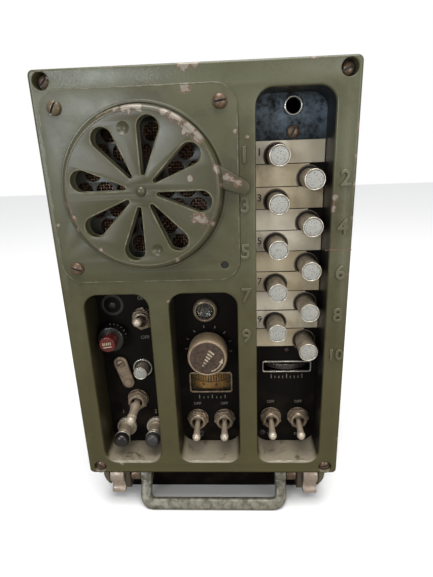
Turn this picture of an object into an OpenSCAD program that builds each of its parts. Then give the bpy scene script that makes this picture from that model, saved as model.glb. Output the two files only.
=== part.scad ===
// Vehicular push-button radio receiver.
// A cast guard with three windows stands in front of a black control panel, and a
// sheet steel dust cover closes the works behind it. The front faces -Y, +Z is up,
// and the origin is the middle of the dust cover's underside. Millimetres.
// Most modules draw in panel coordinates: x across, y up, z out of the panel's face.

/* [Dust cover] */
// Width of the dust cover
cover_w = 158; // [156:1:160]
// Height of the dust cover
cover_h = 281; // [280:1:282]
// Depth of the dust cover
cover_d = 300; // [290:5:340]
// Sheet thickness of the dust cover
cover_wall = 1.5; // [1:0.25:2]

/* [Guard] */
// Width of the cast front guard
guard_w = 168; // [166:1:172]
// Height of the cast front guard
guard_h = 250; // [249:1:252]
// Depth of the guard from its face to the control panel
guard_d = 23; // [22:0.5:24]
// Height of the guard's lower edge above the base
guard_bottom = 33; // [32:0.5:34]
// Height of the window sills above the base
sill_z = 42; // [41:0.5:43]
// Corner radius of the windows
window_r = 9; // [6:1:10]

/* [Loudspeaker front] */
// Side of the square speaker plate
plate_w = 103; // [100:1:104]
// Thickness of the speaker plate
plate_t = 1.3; // [1:0.1:1.6]
// Spacing of the speaker plate's screws
plate_pitch = 85; // [84:0.5:86]
// Outer radius of the rotating shutter
shutter_r = 42.4; // [42:0.1:43]
// Height of the shutter's face above the panel
shutter_face = 31; // [30:0.5:32]
// Number of teardrop slots in the shutter
petals = 8; // [6:1:8]
// Angle of the first slot
petal_turn = -11; // [-15:1:0]

/* [Push buttons] */
// Radius of a channel button
button_r = 5.75; // [5.5:0.05:6]
// Height of a button's face above the panel
button_face = 19.7; // [18:0.1:21]
// Height of the first button above the base
button_top = 237.4; // [236:0.2:238]
// Step down from one button to the next
button_step = 12.9; // [12.7:0.1:13]
// Radial clearance of everything that turns or slides
running = 0.05; // [0.02:0.01:0.1]

/* [Knobs and switches] */
// Radius of the volume knob
volume_r = 12.7; // [12:0.1:13]
// Radius of the sensitivity knob
sensitivity_r = 9; // [8.6:0.1:9.2]
// Angle of a switch lever from straight out
lever_tilt = 13; // [10:1:14]
// Radius of the tuning wheel
wheel_r = 21.6; // [21:0.2:21.6]
// Radius of the dial drum
drum_r = 17.5; // [16:0.5:18]

/* [Handle] */
// Outside width of the bail handle
handle_w = 104; // [102:1:106]
// Width of a handle leg
leg_w = 7.8; // [7:0.1:8]
// Depth of a handle leg
leg_t = 6.4; // [6:0.1:7]
// Forward lean of the handle from hanging straight
handle_lean = 30; // [26:1:32]

/* [Hidden] */
$fn = 64;

// Places along the depth: panel front, and the local depths behind it
panel_y = -cover_d / 2 - 2;
panel_t = 2;
panel_w = 160;
panel_h = 281;
back = -cover_d - panel_t;
cover_screw_z = [200.5, 120.5, 40.5];
cover_screw_depth = -22;
flange_x = 76;

// Windows as [left, right, bottom, top]
windows = [
    [-72, -32.8, sill_z, 162.4],
    [-20.8, 20, sill_z, 162.4],
    [31.3, 72, sill_z, 270.3]
];

// Speaker
speaker_x = -29.2;
speaker_z = 222;
pocket_r = 48;
sound_r = 40;
face_t = 5;
plate_face = guard_d + plate_t;
skirt_z = plate_face + 1.2;
petal_in = 9.3;
petal_out = 32;
petal_tip_r = 1;
petal_end_r = 5.5;
rivet_r = 1.9;
grille_t = 1;
grille_face = guard_d - face_t;
grille_pitch = 11.5;
grille_hole_r = 4.75;

// Guard screws, and the empty corner of the speaker plate
guard_screws = [[-77.5, 277.5, 4], [77.5, 277.5, 4], [-76.4, 38, 1.2], [76.4, 38, 1.2]];
plate_screws = [[-1, 1], [1, 1], [-1, -1]];
screw_r = 2;
screw_hole_r = 2.15;

// Buttons
odd_x = 44.2;
even_x = 63.2;
buttons = [for (n = [1:10]) [n % 2 == 1 ? odd_x : even_x, button_top - button_step * (n - 1)]];
barrel_back = -14;
stem_r = 2.5;
stem_back = -50;
bush_r = 6.6;
call_x = -45.8;
call_z = 101.9;
call_r = 4.5;
call_face = 9;
call_ring_r = 6.6;
call_well_r = 5.7;

// Knobs, lamp, dial and tuning slot
volume_x = 0.2;
volume_z = 116.6;
sensitivity_x = -62.7;
sensitivity_z = 127.5;
pot_shaft_r = 3;
lamp_x = -0.9;
lamp_z = 144.2;
lamp_face = 5.5;
lens_r = 5.6;
lens_rise = 1.6;
dial_x = 0.7;
dial_z = 89.9;
dial_w = 27;
dial_h = 13;
drum_depth = -20.2;
drum_h = 15;
wheel_x = 52.4;
wheel_z = 102;
wheel_t = 4;
slot_w = 30.8;
slot_h = 6.2;
wheel_depth = 2.4 - wheel_r;
spindle_r = 3;

// Switches as [x, z, side the lever points to (1 up, -1 down), roll about its own axis,
// lever length, radius of the lever's tip]
switches = [
    [-42.3, 138.5, 1, 0, 18.8, 2.75],
    [-51.3, 77.5, -1, 14, 22.5, 3.1],
    [-9.5, 61, -1, 0, 18.8, 2.75],
    [9.5, 61, -1, 0, 18.8, 2.75],
    [42, 62, -1, 0, 18.8, 2.75],
    [61, 62, -1, 0, 18.8, 2.75]
];
lever_pivot = 1;

// Binding posts and the pivoting arm
posts = [[-61.3, 55], [-39.8, 55.1]];
post_face = 20;
arm_x = -60.5;
arm_z = 106.5;

// Screws in the panel as [x, z]: below the test hole, under the arm, then three small ones
panel_screw_places = [[53.3, 250.2], [arm_x, arm_z], [-62, 148], [-8, 48.5], [36, 48.5]];
test_hole = [53.2, 263.6];
test_hole_r = 4.2;

// Handle shaft, in panel coordinates
shaft_z = 21;
shaft_out = 9;
shaft_r = 3;
handle_reach = 20.7;
bracket_out = 13.5;
cam_x = 69;
cam_w = 10;

// Inside the cover
pan_z = 12;
deck_z = 95;
sheet = 1.6;
gang_x = 37;
gang_w = 60;
gang_z = 124;
gang_depth = -100;
gang_drop = gang_z - deck_z - sheet - 0.05;
plate_gap = 4;
dynamotor_z = 52;
dynamotor_r = 33;
bearing_r = 4;
valve_places = [for (x = [-56, -22], i = [0:4]) [x, -92 - 42 * i]];

// ---- placing and basic shapes ----

// Panel coordinates at a point of the panel's face, z pointing out at the user
module on_panel(x, z) {
    translate([x, panel_y, z]) rotate([90, 0, 0]) children();
}

module rod(r, z0, z1) {
    translate([0, 0, z0]) cylinder(r = r, h = z1 - z0);
}

module tube(r_out, r_in, z0, z1) {
    difference() {
        rod(r_out, z0, z1);
        rod(r_in, z0 - 1, z1 + 1);
    }
}

module block(x0, x1, y0, y1, z0, z1) {
    translate([x0, y0, z0]) cube([x1 - x0, y1 - y0, z1 - z0]);
}

// Rod along x, in panel coordinates
module cross_rod(r, x0, x1) {
    translate([x0, 0, 0]) rotate([0, 90, 0]) cylinder(r = r, h = x1 - x0);
}

module rounded_rect(w, h, r) {
    square([w - 2 * r, h], center = true);
    square([w, h - 2 * r], center = true);
    for (sx = [-1, 1], sy = [-1, 1])
        translate([sx * (w / 2 - r), sy * (h / 2 - r)]) circle(r);
}

module frame_2d(w, h, r, band) {
    difference() {
        rounded_rect(w, h, r);
        rounded_rect(w - 2 * band, h - 2 * band, max(r - band, 0.5));
    }
}

// Slotted screw with a domed head, its shank behind z = 0
module slotted_screw(head_r, head_h, shank_r, length) {
    ball_r = (head_r * head_r + head_h * head_h) / (2 * head_h);
    difference() {
        intersection() {
            translate([0, 0, head_h - ball_r]) sphere(ball_r);
            rod(head_r, 0, head_h);
        }
        block(-head_r, head_r, -0.5, 0.5, head_h * 0.45, head_h + 1);
    }
    rod(shank_r, -length, 0);
}

// ---- guard and speaker front ----

module window_hole(w) {
    translate([(w[0] + w[1]) / 2, (w[2] + w[3]) / 2, -1])
        linear_extrude(guard_d + 2) rounded_rect(w[1] - w[0], w[3] - w[2], window_r);
}

module guard_frame() {
    color([0.33, 0.34, 0.22]) on_panel(0, 0) difference() {
        translate([0, guard_bottom + guard_h / 2, 0])
            linear_extrude(guard_d) rounded_rect(guard_w, guard_h, 3);
        for (w = windows) window_hole(w);
        translate([speaker_x, speaker_z, 0]) {
            rod(pocket_r, -1, guard_d - face_t);
            rod(sound_r, 0, guard_d + 1);
            for (sx = [-1, 1], sy = [-1, 1])
                translate([sx, sy, 0] * plate_pitch / 2) rod(screw_hole_r, guard_d - 12, guard_d + 1);
        }
        for (s = guard_screws) translate([s[0], s[1], 0]) {
            rod(screw_hole_r, -1, guard_d + 1);
            rod(4.3, guard_d - s[2] - 1.4, guard_d + 1);
        }
    }
}

module front_screws() {
    color([0.45, 0.38, 0.28]) on_panel(0, 0) {
        for (s = guard_screws) translate([s[0], s[1], guard_d - s[2] - 1.4])
            rotate(s[0] > 0 ? 20 : -35) slotted_screw(3.3, 2, screw_r, 19);
        for (s = plate_screws)
            translate([speaker_x + s[0] * plate_pitch / 2, speaker_z + s[1] * plate_pitch / 2, plate_face])
                rotate(s[0] * s[1] * 40) slotted_screw(3.75, 2.4, screw_r, 11);
    }
}

// Points of an arc about a centre, from one angle to another in n steps
function arc(centre, r, from, to, n) =
    [for (i = [0:n]) centre + r * [cos(from + (to - from) * i / n), sin(from + (to - from) * i / n)]];

// Teardrop slot along x: small rounded tip, round outer end, tangent sides
module petal() {
    tangent = 90 + asin((petal_end_r - petal_tip_r) / (petal_out - petal_in));
    polygon(concat(
        arc([petal_out, 0], petal_end_r, -tangent, tangent, 20),
        arc([petal_in, 0], petal_tip_r, tangent, 360 - tangent, 6)
    ));
}

module petal_ring() {
    for (i = [0:petals - 1]) rotate(petal_turn + i * 360 / petals) petal();
}

module speaker_plate() {
    color([0.36, 0.37, 0.25]) on_panel(speaker_x, speaker_z) {
        difference() {
            translate([0, 0, guard_d]) linear_extrude(plate_t) rounded_rect(plate_w, plate_w, 12);
            translate([0, 0, guard_d - 1]) linear_extrude(plate_t + 2) petal_ring();
            rod(rivet_r + running, guard_d - 1, plate_face + 1);
            for (sx = [-1, 1], sy = [-1, 1])
                translate([sx, sy, 0] * plate_pitch / 2) rod(screw_hole_r, guard_d - 1, plate_face + 1);
        }
        tube(44.8, 43.2, plate_face, plate_face + 0.7);
    }
}

module speaker_grille() {
    row = grille_pitch * sqrt(3) / 2;
    color([0.3, 0.24, 0.18]) on_panel(speaker_x, speaker_z) difference() {
        rod(46, grille_face - grille_t, grille_face);
        for (i = [-4:4], j = [-4:4]) {
            x = (i + (j % 2 == 0 ? 0 : 0.5)) * grille_pitch;
            y = j * row;
            if (norm([x, y]) < 37)
                translate([x, y, 0]) rod(grille_hole_r, grille_face - 2, grille_face + 1);
        }
    }
}

module speaker_basket() {
    front = grille_face - grille_t;
    color([0.2, 0.2, 0.2]) on_panel(speaker_x, speaker_z) rotate_extrude() polygon([
        [38, front], [46, front], [46, front - 1.5], [39.5, front - 1.5], [22, -12], [22, -36],
        [0, -36], [0, -20], [18, -20], [18, -12], [20.5, -10.5], [38, front - 1.5]
    ]);
}

module speaker_cone() {
    color([0.3, 0.22, 0.15]) on_panel(speaker_x, speaker_z) rotate_extrude() polygon([
        [36, 14.6], [36.8, 14.6], [10.8, -7], [10.8, -17], [10, -17], [10, -5.6],
        [6, -2.2], [0, -1], [0, 0], [6.4, -1.2], [10.4, -4.8]
    ]);
}

module shutter() {
    rim_r = 2.5;
    skin = 1.5;
    color([0.38, 0.38, 0.27]) on_panel(speaker_x, speaker_z) difference() {
        union() {
            rotate_extrude() {
                translate([0, shutter_face - skin]) square([shutter_r - rim_r, skin]);
                translate([shutter_r - skin, skirt_z]) square([skin, shutter_face - rim_r - skirt_z]);
                translate([shutter_r - rim_r, shutter_face - rim_r]) intersection() {
                    difference() {
                        circle(rim_r);
                        circle(rim_r - skin);
                    }
                    square(rim_r);
                }
            }
            translate([0, 0, skirt_z]) linear_extrude(1.8) difference() {
                polygon(concat([[39.5, 12.6]], arc([53.2, 0], 3.9, 57, -80, 14), [[41, 0.2]]));
                circle(shutter_r - skin);
            }
        }
        translate([0, 0, shutter_face - 3]) linear_extrude(4) petal_ring();
        rod(rivet_r + running, skirt_z, shutter_face + 1);
        for (a = [101.5, -78.5]) rotate(a) translate([32, 0, 0])
            rod(2.6, shutter_face - 0.6, shutter_face + 1);
    }
}

module shutter_rivet() {
    color([0.45, 0.45, 0.35]) on_panel(speaker_x, speaker_z) {
        rod(rivet_r, guard_d, shutter_face + 0.2);
        rod(3.4, guard_d - 1.2, guard_d - 0.05);
        rod(rivet_r, guard_d - 0.1, guard_d + 0.1);
        translate([0, 0, shutter_face + 0.15]) intersection() {
            translate([0, 0, -1]) sphere(2.8);
            rod(2.6, 0, 3);
        }
        rod(3.2, plate_face + 0.1, shutter_face - 1.7);
    }
}

// ---- panel ----

// Black panel, with a flange down each side that takes the cover's screws
module front_panel() {
    color([0.1, 0.1, 0.1]) on_panel(0, 0) difference() {
        union() {
            translate([0, 1 + panel_h / 2, -panel_t]) linear_extrude(panel_t)
                rounded_rect(panel_w, panel_h, 5);
            translate([test_hole[0], test_hole[1], 0]) rod(test_hole_r + 0.7, -1, 1.6);
            for (side = [0, 1]) mirror([side, 0, 0])
                block(flange_x, cover_w / 2 - cover_wall - 0.1, 30, 250, -26, -1);
        }
        for (z = cover_screw_z)
            translate([0, z, cover_screw_depth]) cross_rod(1.9, -panel_w / 2, panel_w / 2);
        translate([test_hole[0], test_hole[1], 0]) rod(test_hole_r, -3, 3);
        translate([speaker_x, speaker_z, 0]) rod(pocket_r, -3, 1);
        for (b = buttons) translate([b[0], b[1], 0]) rod(bush_r + running, -3, 1);
        translate([call_x, call_z, 0]) rod(5.5 + running, -3, 1);
        translate([volume_x, volume_z, 0]) rod(4.6, -3, 1);
        translate([sensitivity_x, sensitivity_z, 0]) rod(4.6, -3, 1);
        translate([lamp_x, lamp_z, 0]) rod(5.6, -3, 1);
        translate([dial_x, dial_z, -3]) linear_extrude(4) rounded_rect(dial_w, dial_h, 1);
        translate([wheel_x, wheel_z, -3]) linear_extrude(4) rounded_rect(slot_w, slot_h, 1);
        for (s = switches) translate([s[0], s[1], 0]) rod(5.6, -3, 1);
        for (p = posts) translate([p[0], p[1], 0]) rod(3.6, -3, 1);
        for (s = guard_screws) translate([s[0], s[1], 0]) rod(screw_hole_r, -3, 1);
        for (p = panel_screw_places) translate([p[0], p[1], 0]) rod(1.9, -3, 1);
    }
}

module panel_screws() {
    color([0.25, 0.24, 0.23]) on_panel(0, 0) {
        translate([panel_screw_places[0][0], panel_screw_places[0][1], 0]) slotted_screw(3.6, 2, 1.8, 8);
        translate([arm_x, arm_z, 3]) slotted_screw(2.75, 1.6, 1.8, 9);
        for (i = [2:4]) translate([panel_screw_places[i][0], panel_screw_places[i][1], 0])
            slotted_screw(2.4, 1.2, 1.8, 6);
    }
}

// Ten ivory strips, one beside each button, each pierced for the buttons near it;
// the strips of the right-hand buttons end at their button
module channel_cards() {
    card_h = button_step - 0.5;
    color([0.85, 0.8, 0.62]) on_panel(0, 0) for (i = [0:9]) difference() {
        z = button_top + 2 - i * button_step;
        right = i % 2 == 0 ? 71.7 : even_x;
        block(31.6, right, z - card_h / 2, z + card_h / 2, 0.05, 0.65);
        for (b = buttons) translate([b[0], b[1], 0]) rod(7.7, -1, 2);
    }
}

module button_bushes() {
    color([0.12, 0.12, 0.12]) on_panel(0, 0) {
        for (b = buttons) translate([b[0], b[1], 0]) difference() {
            union() {
                rod(7.4, 0, 0.9);
                rod(bush_r, -8, 0.5);
            }
            rod(button_r + running, -9, 2);
        }
        translate([call_x, call_z, 0]) difference() {
            union() {
                rod(call_ring_r, 0, 1.2);
                rod(5.5, -9, 0.4);
            }
            rod(call_well_r, 0.4, 2);
            rod(call_r + running, -10, 2);
        }
    }
}

module push_button(n) {
    b = buttons[n - 1];
    color([0.62, 0.6, 0.56]) on_panel(b[0], b[1]) {
        difference() {
            rod(button_r, barrel_back, button_face);
            tube(button_r + 1, button_r - 0.6, 5.4, 6.4);
            rod(button_r - 0.9, button_face - 0.4, button_face + 1);
        }
        rod(stem_r, stem_back, barrel_back + 0.5);
    }
}

module call_button() {
    color([0.65, 0.62, 0.56]) on_panel(call_x, call_z) {
        rod(call_r, -10, call_face);
        rod(2, -18, -9);
    }
}

// Folded frame: guides the button stems, and carries the upright spindles of the tuning
// wheel and the dial drum
module mechanism_frame() {
    right = flange_x - 0.1;
    left = 31;
    color([0.55, 0.55, 0.52]) on_panel(0, 0) difference() {
        union() {
            block(left, right, 111, 252, -44, -42);
            block(right - sheet, right, 92, 252, -44, -panel_t);
            for (z = [wheel_z - 8, wheel_z + 6.4]) block(left, right, z, z + sheet, -44, -8);
            block(-17.4, right, 74, 112, -46, -44);
            for (z = [dial_z - 10, dial_z + 8.4])
                block(dial_x - 8, dial_x + 8, z, z + sheet, -45, drum_depth + 6);
        }
        for (b = buttons) translate([b[0], b[1], 0]) rod(stem_r + running, -47, -40);
        translate([wheel_x, 90, wheel_depth]) rotate([-90, 0, 0]) rod(spindle_r + running, 0, 24);
        translate([dial_x, dial_z - 12, drum_depth]) rotate([-90, 0, 0]) rod(spindle_r + running, 0, 24);
    }
}

// ---- knobs, lamp, dial, tuning ----

module potentiometers() {
    color([0.35, 0.33, 0.3])
        for (k = [[volume_x, volume_z, 11.5], [sensitivity_x, sensitivity_z, 9.5]])
            on_panel(k[0], k[1]) difference() {
                union() {
                    rod(k[2], -18, -panel_t - 0.05);
                    rod(4.5, -4, 2.2);
                }
                rod(pot_shaft_r + running, -15, 3);
            }
}

// Knurled knob on its shaft, with a shallow recessed face
module knurled_knob(r, z0, z1, teeth) {
    difference() {
        rod(r, z0, z1);
        for (i = [0:teeth - 1]) rotate(i * 360 / teeth)
            translate([r + 0.35, 0, 0]) rod(0.8, z0 + 1.5, z1 - 1);
    }
    rod(pot_shaft_r, -14.5, z0 + 0.5);
}

module volume_knob() {
    color([0.5, 0.48, 0.42]) on_panel(volume_x, volume_z) knurled_knob(volume_r, 3, 17, 30);
}

module sensitivity_knob() {
    color([0.1, 0.1, 0.1]) on_panel(sensitivity_x, sensitivity_z) {
        knurled_knob(sensitivity_r, 3, 10, 18);
        rod(5.1, 9, 18);
    }
}

module lamp_bezel() {
    color([0.6, 0.58, 0.52]) on_panel(lamp_x, lamp_z) difference() {
        union() {
            rod(lens_r + 2.1, 0, lamp_face - 1);
            rod(lens_r + 1.3, 1, lamp_face);
            rod(5.5, -14, 1);
        }
        rod(4.7, -12, 2);
        rod(lens_r + 0.1, 1.15, lamp_face + 1);
    }
}

module lamp_jewel() {
    dome_r = (lens_r * lens_r + lens_rise * lens_rise) / (2 * lens_rise);
    color([0.8, 0.85, 0.85, 0.6]) on_panel(lamp_x, lamp_z) {
        rod(lens_r, 1.2, lamp_face);
        intersection() {
            translate([0, 0, lamp_face + lens_rise - dome_r]) sphere(dome_r);
            rod(lens_r, lamp_face - 0.5, lamp_face + lens_rise + 1);
        }
    }
}

module dial_bezel() {
    color([0.55, 0.52, 0.42]) on_panel(dial_x, dial_z) linear_extrude(1)
        frame_2d(dial_w + 3, dial_h + 3, 2, 1.3);
}

module dial_glass() {
    color([0.8, 0.75, 0.5, 0.4]) on_panel(dial_x, dial_z)
        translate([0, 0, -1.4]) linear_extrude(1.2) rounded_rect(dial_w - 0.4, dial_h - 0.4, 0.8);
}

module dial_drum() {
    color([0.8, 0.65, 0.3]) on_panel(dial_x, dial_z) translate([0, 0, drum_depth]) rotate([-90, 0, 0]) {
        rod(drum_r, -drum_h / 2, drum_h / 2);
        rod(spindle_r, -12, 12);
    }
}

module tuning_bezel() {
    color([0.6, 0.58, 0.52]) on_panel(wheel_x, wheel_z) linear_extrude(1.8)
        frame_2d(slot_w + 2.2, slot_h + 2.2, 1.5, 0.9);
}

module tuning_wheel() {
    grips = 72;
    color([0.3, 0.3, 0.3]) on_panel(wheel_x, wheel_z) translate([0, 0, wheel_depth]) rotate([-90, 0, 0]) {
        difference() {
            rod(wheel_r, -wheel_t / 2, wheel_t / 2);
            for (i = [0:grips - 1]) rotate(i * 360 / grips)
                translate([wheel_r + 0.3, 0, 0]) rod(0.65, -wheel_t, wheel_t);
        }
        rod(spindle_r, -10, 10);
    }
}

// Ganged capacitor: end plates, base and fixed vanes
module tuning_gang() {
    half = gang_w / 2;
    color([0.6, 0.6, 0.58]) on_panel(gang_x, gang_z) translate([0, 0, gang_depth]) difference() {
        union() {
            for (s = [-1, 1]) block(s * half - 1, s * half + 1, -24, 22, -22, 22);
            block(-half, half, -gang_drop, -24, -24, 24);
            for (i = [-6:5])
                block((i + 0.5) * plate_gap - 0.5, (i + 0.5) * plate_gap + 0.5, -25, -5, -20, 20);
        }
        cross_rod(spindle_r + running, -half - 2, half + 2);
    }
}

module gang_rotor() {
    half = gang_w / 2;
    color([0.75, 0.72, 0.6]) on_panel(gang_x, gang_z) translate([0, 0, gang_depth]) {
        cross_rod(spindle_r, -half - 4, half + 4);
        for (i = [-6:6]) intersection() {
            translate([i * plate_gap, 0, 0]) cross_rod(19, -0.5, 0.5);
            block(-half, half, -20, 20, 0, 20);
        }
    }
}

// ---- switches ----

module switch_bodies() {
    color([0.35, 0.33, 0.3]) for (s = switches) on_panel(s[0], s[1]) rotate(-s[3]) difference() {
        union() {
            block(-6.5, 6.5, -9.5, 9.5, -22, -panel_t - 0.05);
            rod(5.5, -3, 6.5);
        }
        rod(3.9, -6, 8);
    }
}

module switch_nuts() {
    flat_r = 6.6 / cos(30);
    color([0.6, 0.57, 0.5]) for (s = switches) on_panel(s[0], s[1]) rotate(s[0] + s[3]) {
        tube(7.4, 5.55, 0.05, 0.8);
        difference() {
            translate([0, 0, 0.8]) cylinder(r = flat_r, h = 2.6, $fn = 6);
            rod(5.55, 0, 4);
        }
    }
}

module switch_lever(n) {
    s = switches[n];
    length = s[4];
    tip_r = s[5];
    color([0.55, 0.52, 0.46]) on_panel(s[0], s[1])
        rotate(-s[3]) translate([0, 0, lever_pivot]) rotate([-s[2] * lever_tilt, 0, 0]) {
            sphere(2.6);
            cross_rod(1.2, -3.6, 3.6);
            translate([0, 0, 1.5]) cylinder(r1 = tip_r - 1.25, r2 = tip_r - 0.35, h = length - 4.5);
            translate([0, 0, length - tip_r - 0.45]) cylinder(r1 = tip_r - 0.35, r2 = tip_r, h = 0.5);
            translate([0, 0, length - tip_r]) sphere(tip_r);
        }
}

// ---- binding posts and arm ----

module binding_posts() {
    color([0.6, 0.57, 0.5]) for (p = posts) on_panel(p[0], p[1]) difference() {
        union() {
            rod(7, 0, 2.4);
            rod(5.2, 2.4, 4);
            rod(4, 4, 11.5);
            rod(3.5, -12, 1);
        }
        rod(2 + running, -13, 12);
    }
}

module post_cap(n) {
    p = posts[n];
    color([0.1, 0.1, 0.1]) on_panel(p[0], p[1]) {
        rod(2, -10, 15);
        rod(5, 14.2, post_face - 1);
        rod(4.3, post_face - 1.2, post_face);
    }
}

module pivot_arm() {
    end = [4, -15];
    along = atan2(end[1], end[0]);
    color([0.6, 0.52, 0.4]) on_panel(arm_x, arm_z) translate([0, 0, 0.6]) difference() {
        union() {
            rod(4.6, 0, 2.2);
            translate([end[0], end[1], 0]) rod(4.15, 0, 2.2);
            rotate(along) block(0, norm(end), -4.15, 4.15, 0, 2.2);
        }
        rod(1.8 + running, -1, 4);
    }
}

// ---- handle and latch ----

module bracket_outline() {
    right = 79;
    bottom = 11;
    corner_r = 12;
    difference() {
        translate([59.5, bottom]) square([right - 59.5, guard_bottom - bottom - 0.05]);
        difference() {
            translate([right - corner_r, bottom - 0.01]) square([corner_r + 0.01, corner_r]);
            translate([right - corner_r, bottom + corner_r]) circle(corner_r);
        }
    }
}

// Cast brackets under the guard, slotted for the latch cams
module handle_brackets() {
    color([0.3, 0.31, 0.2]) on_panel(0, 0) for (side = [0, 1]) mirror([side, 0, 0]) difference() {
        linear_extrude(bracket_out) bracket_outline();
        block(cam_x - cam_w / 2 - 0.5, cam_x + cam_w / 2 + 0.5, 0, 34, 2, bracket_out + 1);
        translate([0, shaft_z, shaft_out]) cross_rod(shaft_r + running, 50, 76);
    }
}

// Two stub shafts, each with the latch cam that hooks under a pin of the mounting
module latch_shafts() {
    color([0.7, 0.66, 0.58]) on_panel(0, 0) translate([0, shaft_z, shaft_out])
        for (side = [0, 1]) mirror([side, 0, 0]) {
            cross_rod(shaft_r, handle_w / 2 - leg_w, 75.5);
            translate([cam_x - cam_w / 2, 0, 0]) rotate([0, 90, 0]) rotate(90)
                linear_extrude(cam_w) difference() {
                    union() {
                        circle(6.5);
                        translate([-12, -5.5]) square([12, 9]);
                        translate([-13.5, -4]) square([3, 9]);
                    }
                    translate([-9, 6]) circle(3.1);
                }
        }
}

// Bail: two legs with eyes on the shaft, joined by the grip with round corners
module bail_handle() {
    bend_r = 6;
    leg_x = handle_w / 2 - leg_w / 2;
    module section() { rounded_rect(leg_w, leg_t, 2.2); }
    color([0.42, 0.42, 0.35]) on_panel(0, 0) translate([0, shaft_z, shaft_out])
        rotate([-handle_lean, 0, 0]) difference() {
            union() {
                for (side = [0, 1]) mirror([side, 0, 0]) {
                    translate([leg_x, 0, 0]) cross_rod(5.6, -leg_w / 2, leg_w / 2);
                    translate([leg_x, 0, 0]) rotate([90, 0, 0])
                        linear_extrude(handle_reach - bend_r) section();
                    translate([leg_x - bend_r, bend_r - handle_reach, 0]) rotate(-90)
                        rotate_extrude(angle = 90) translate([bend_r, 0]) section();
                }
                translate([bend_r - leg_x, -handle_reach, 0]) rotate([0, 90, 0]) rotate(90)
                    linear_extrude(2 * (leg_x - bend_r)) section();
            }
            cross_rod(shaft_r + 0.02, -60, 60);
        }
}

// ---- cover, chassis and works ----

module dust_cover() {
    color([0.3, 0.31, 0.2]) on_panel(0, cover_h / 2) translate([0, 0, back]) difference() {
        linear_extrude(cover_d) rounded_rect(cover_w, cover_h, 8);
        translate([0, 0, cover_wall]) linear_extrude(cover_d)
            rounded_rect(cover_w - 2 * cover_wall, cover_h - 2 * cover_wall, 8 - cover_wall);
        block(-36, 36, -118, -92, -1, 3);
        for (z = cover_screw_z)
            translate([0, z - cover_h / 2, cover_screw_depth - back]) cross_rod(1.9, -cover_w, cover_w);
    }
}

module cover_screws() {
    color([0.45, 0.4, 0.32]) for (side = [-1, 1], z = cover_screw_z)
        on_panel(side * cover_w / 2, z) translate([0, 0, cover_screw_depth])
            rotate([0, side * 90, 0]) slotted_screw(3.2, 1.7, 1.8, 2.9);
}

module chassis() {
    half = 73;
    color([0.55, 0.55, 0.5]) on_panel(0, 0) difference() {
        union() {
            block(-half, half, pan_z, pan_z + sheet, back + 4, -panel_t);
            for (side = [0, 1]) mirror([side, 0, 0])
                block(half - sheet, half, pan_z, deck_z + 12, back + 4, -52);
            block(-half, half, deck_z, deck_z + sheet, back + 4, -70);
        }
        for (v = valve_places) translate([v[0], deck_z - 3, v[1]]) rotate([-90, 0, 0]) rod(8.2, 0, 8);
    }
}

// Metal-shell valves, plugged through the deck
module valves() {
    color([0.12, 0.12, 0.13]) on_panel(0, 0) for (v = valve_places)
        translate([v[0], deck_z + sheet + 0.05, v[1]]) rotate([-90, 0, 0]) {
            rod(7.8, -7, 0.5);
            rod(15, 0, 5);
            rod(12.5, 5, 58);
            rod(9, 58, 64);
        }
}

module if_cans() {
    color([0.7, 0.7, 0.7]) on_panel(0, 0) for (x = [22, 54], i = [0:2])
        translate([x, deck_z + sheet + 0.05, -160 - 42 * i]) rotate([-90, 0, 0])
            linear_extrude(78) rounded_rect(26, 30, 3);
}

module output_transformer() {
    color([0.3, 0.3, 0.3]) on_panel(-38, pan_z + sheet + 0.05) {
        block(-22, 22, 0, 38, -108, -72);
        block(-13, 13, 4, 34, -118, -62);
    }
}

// Dynamotor: tube on a cradle, closed by end bells with the bearings
module dynamotor_frame() {
    half = 62;
    drop = dynamotor_z - pan_z - sheet - 0.05;
    color([0.28, 0.28, 0.26]) on_panel(18, dynamotor_z) translate([0, 0, -208]) {
        difference() {
            union() {
                tube(dynamotor_r, dynamotor_r - 4, -half, half);
                for (z = [-half - 3, half - 1]) rod(dynamotor_r - 3, z, z + 4);
            }
            rod(bearing_r + running, -half - 8, half + 8);
        }
        difference() {
            for (z = [-45, 35]) block(-26, 26, -drop, -16, z, z + 10);
            rod(dynamotor_r - 0.5, -half, half);
        }
    }
}

module dynamotor_armature() {
    color([0.6, 0.45, 0.25]) on_panel(18, dynamotor_z) translate([0, 0, -208]) {
        rod(bearing_r, -68, 68);
        rod(25, -28, 28);
        for (z = [-50, 34]) rod(13, z, z + 16);
    }
}

// Multi-pin plug block that meets the mounting's socket
module rear_plug() {
    color([0.15, 0.1, 0.08]) on_panel(0, cover_h / 2) translate([0, 0, back]) {
        block(-34, 34, -116, -94, -4, cover_wall + 0.05);
        block(-40, 40, -122, -88, cover_wall + 0.05, 10);
        for (i = [-4:4], j = [0, 1]) translate([i * 7, -109 + 8 * j, 0]) rod(1.2, -8, -3.9);
    }
}

guard_frame();
front_screws();
front_panel();
speaker_plate();
speaker_grille();
speaker_basket();
speaker_cone();
shutter_rivet();
channel_cards();
button_bushes();
mechanism_frame();
panel_screws();
lamp_bezel();
lamp_jewel();
potentiometers();
dial_bezel();
dial_glass();
tuning_bezel();
tuning_gang();
switch_bodies();
switch_nuts();
binding_posts();
handle_brackets();
dust_cover();
cover_screws();
chassis();
valves();
if_cans();
output_transformer();
dynamotor_frame();
rear_plug();
shutter();
push_button(1);  // button_1
push_button(2);  // button_2
push_button(3);  // button_3
push_button(4);  // button_4
push_button(5);  // button_5
push_button(6);  // button_6
push_button(7);  // button_7
push_button(8);  // button_8
push_button(9);  // button_9
push_button(10);  // button_10
volume_knob();
sensitivity_knob();
tuning_wheel();
dial_drum();
gang_rotor();
switch_lever(0);  // speaker_lever
switch_lever(1);  // squelch_lever
switch_lever(2);  // tune_lever
switch_lever(3);  // device_lever
switch_lever(4);  // intercom_lever
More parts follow.
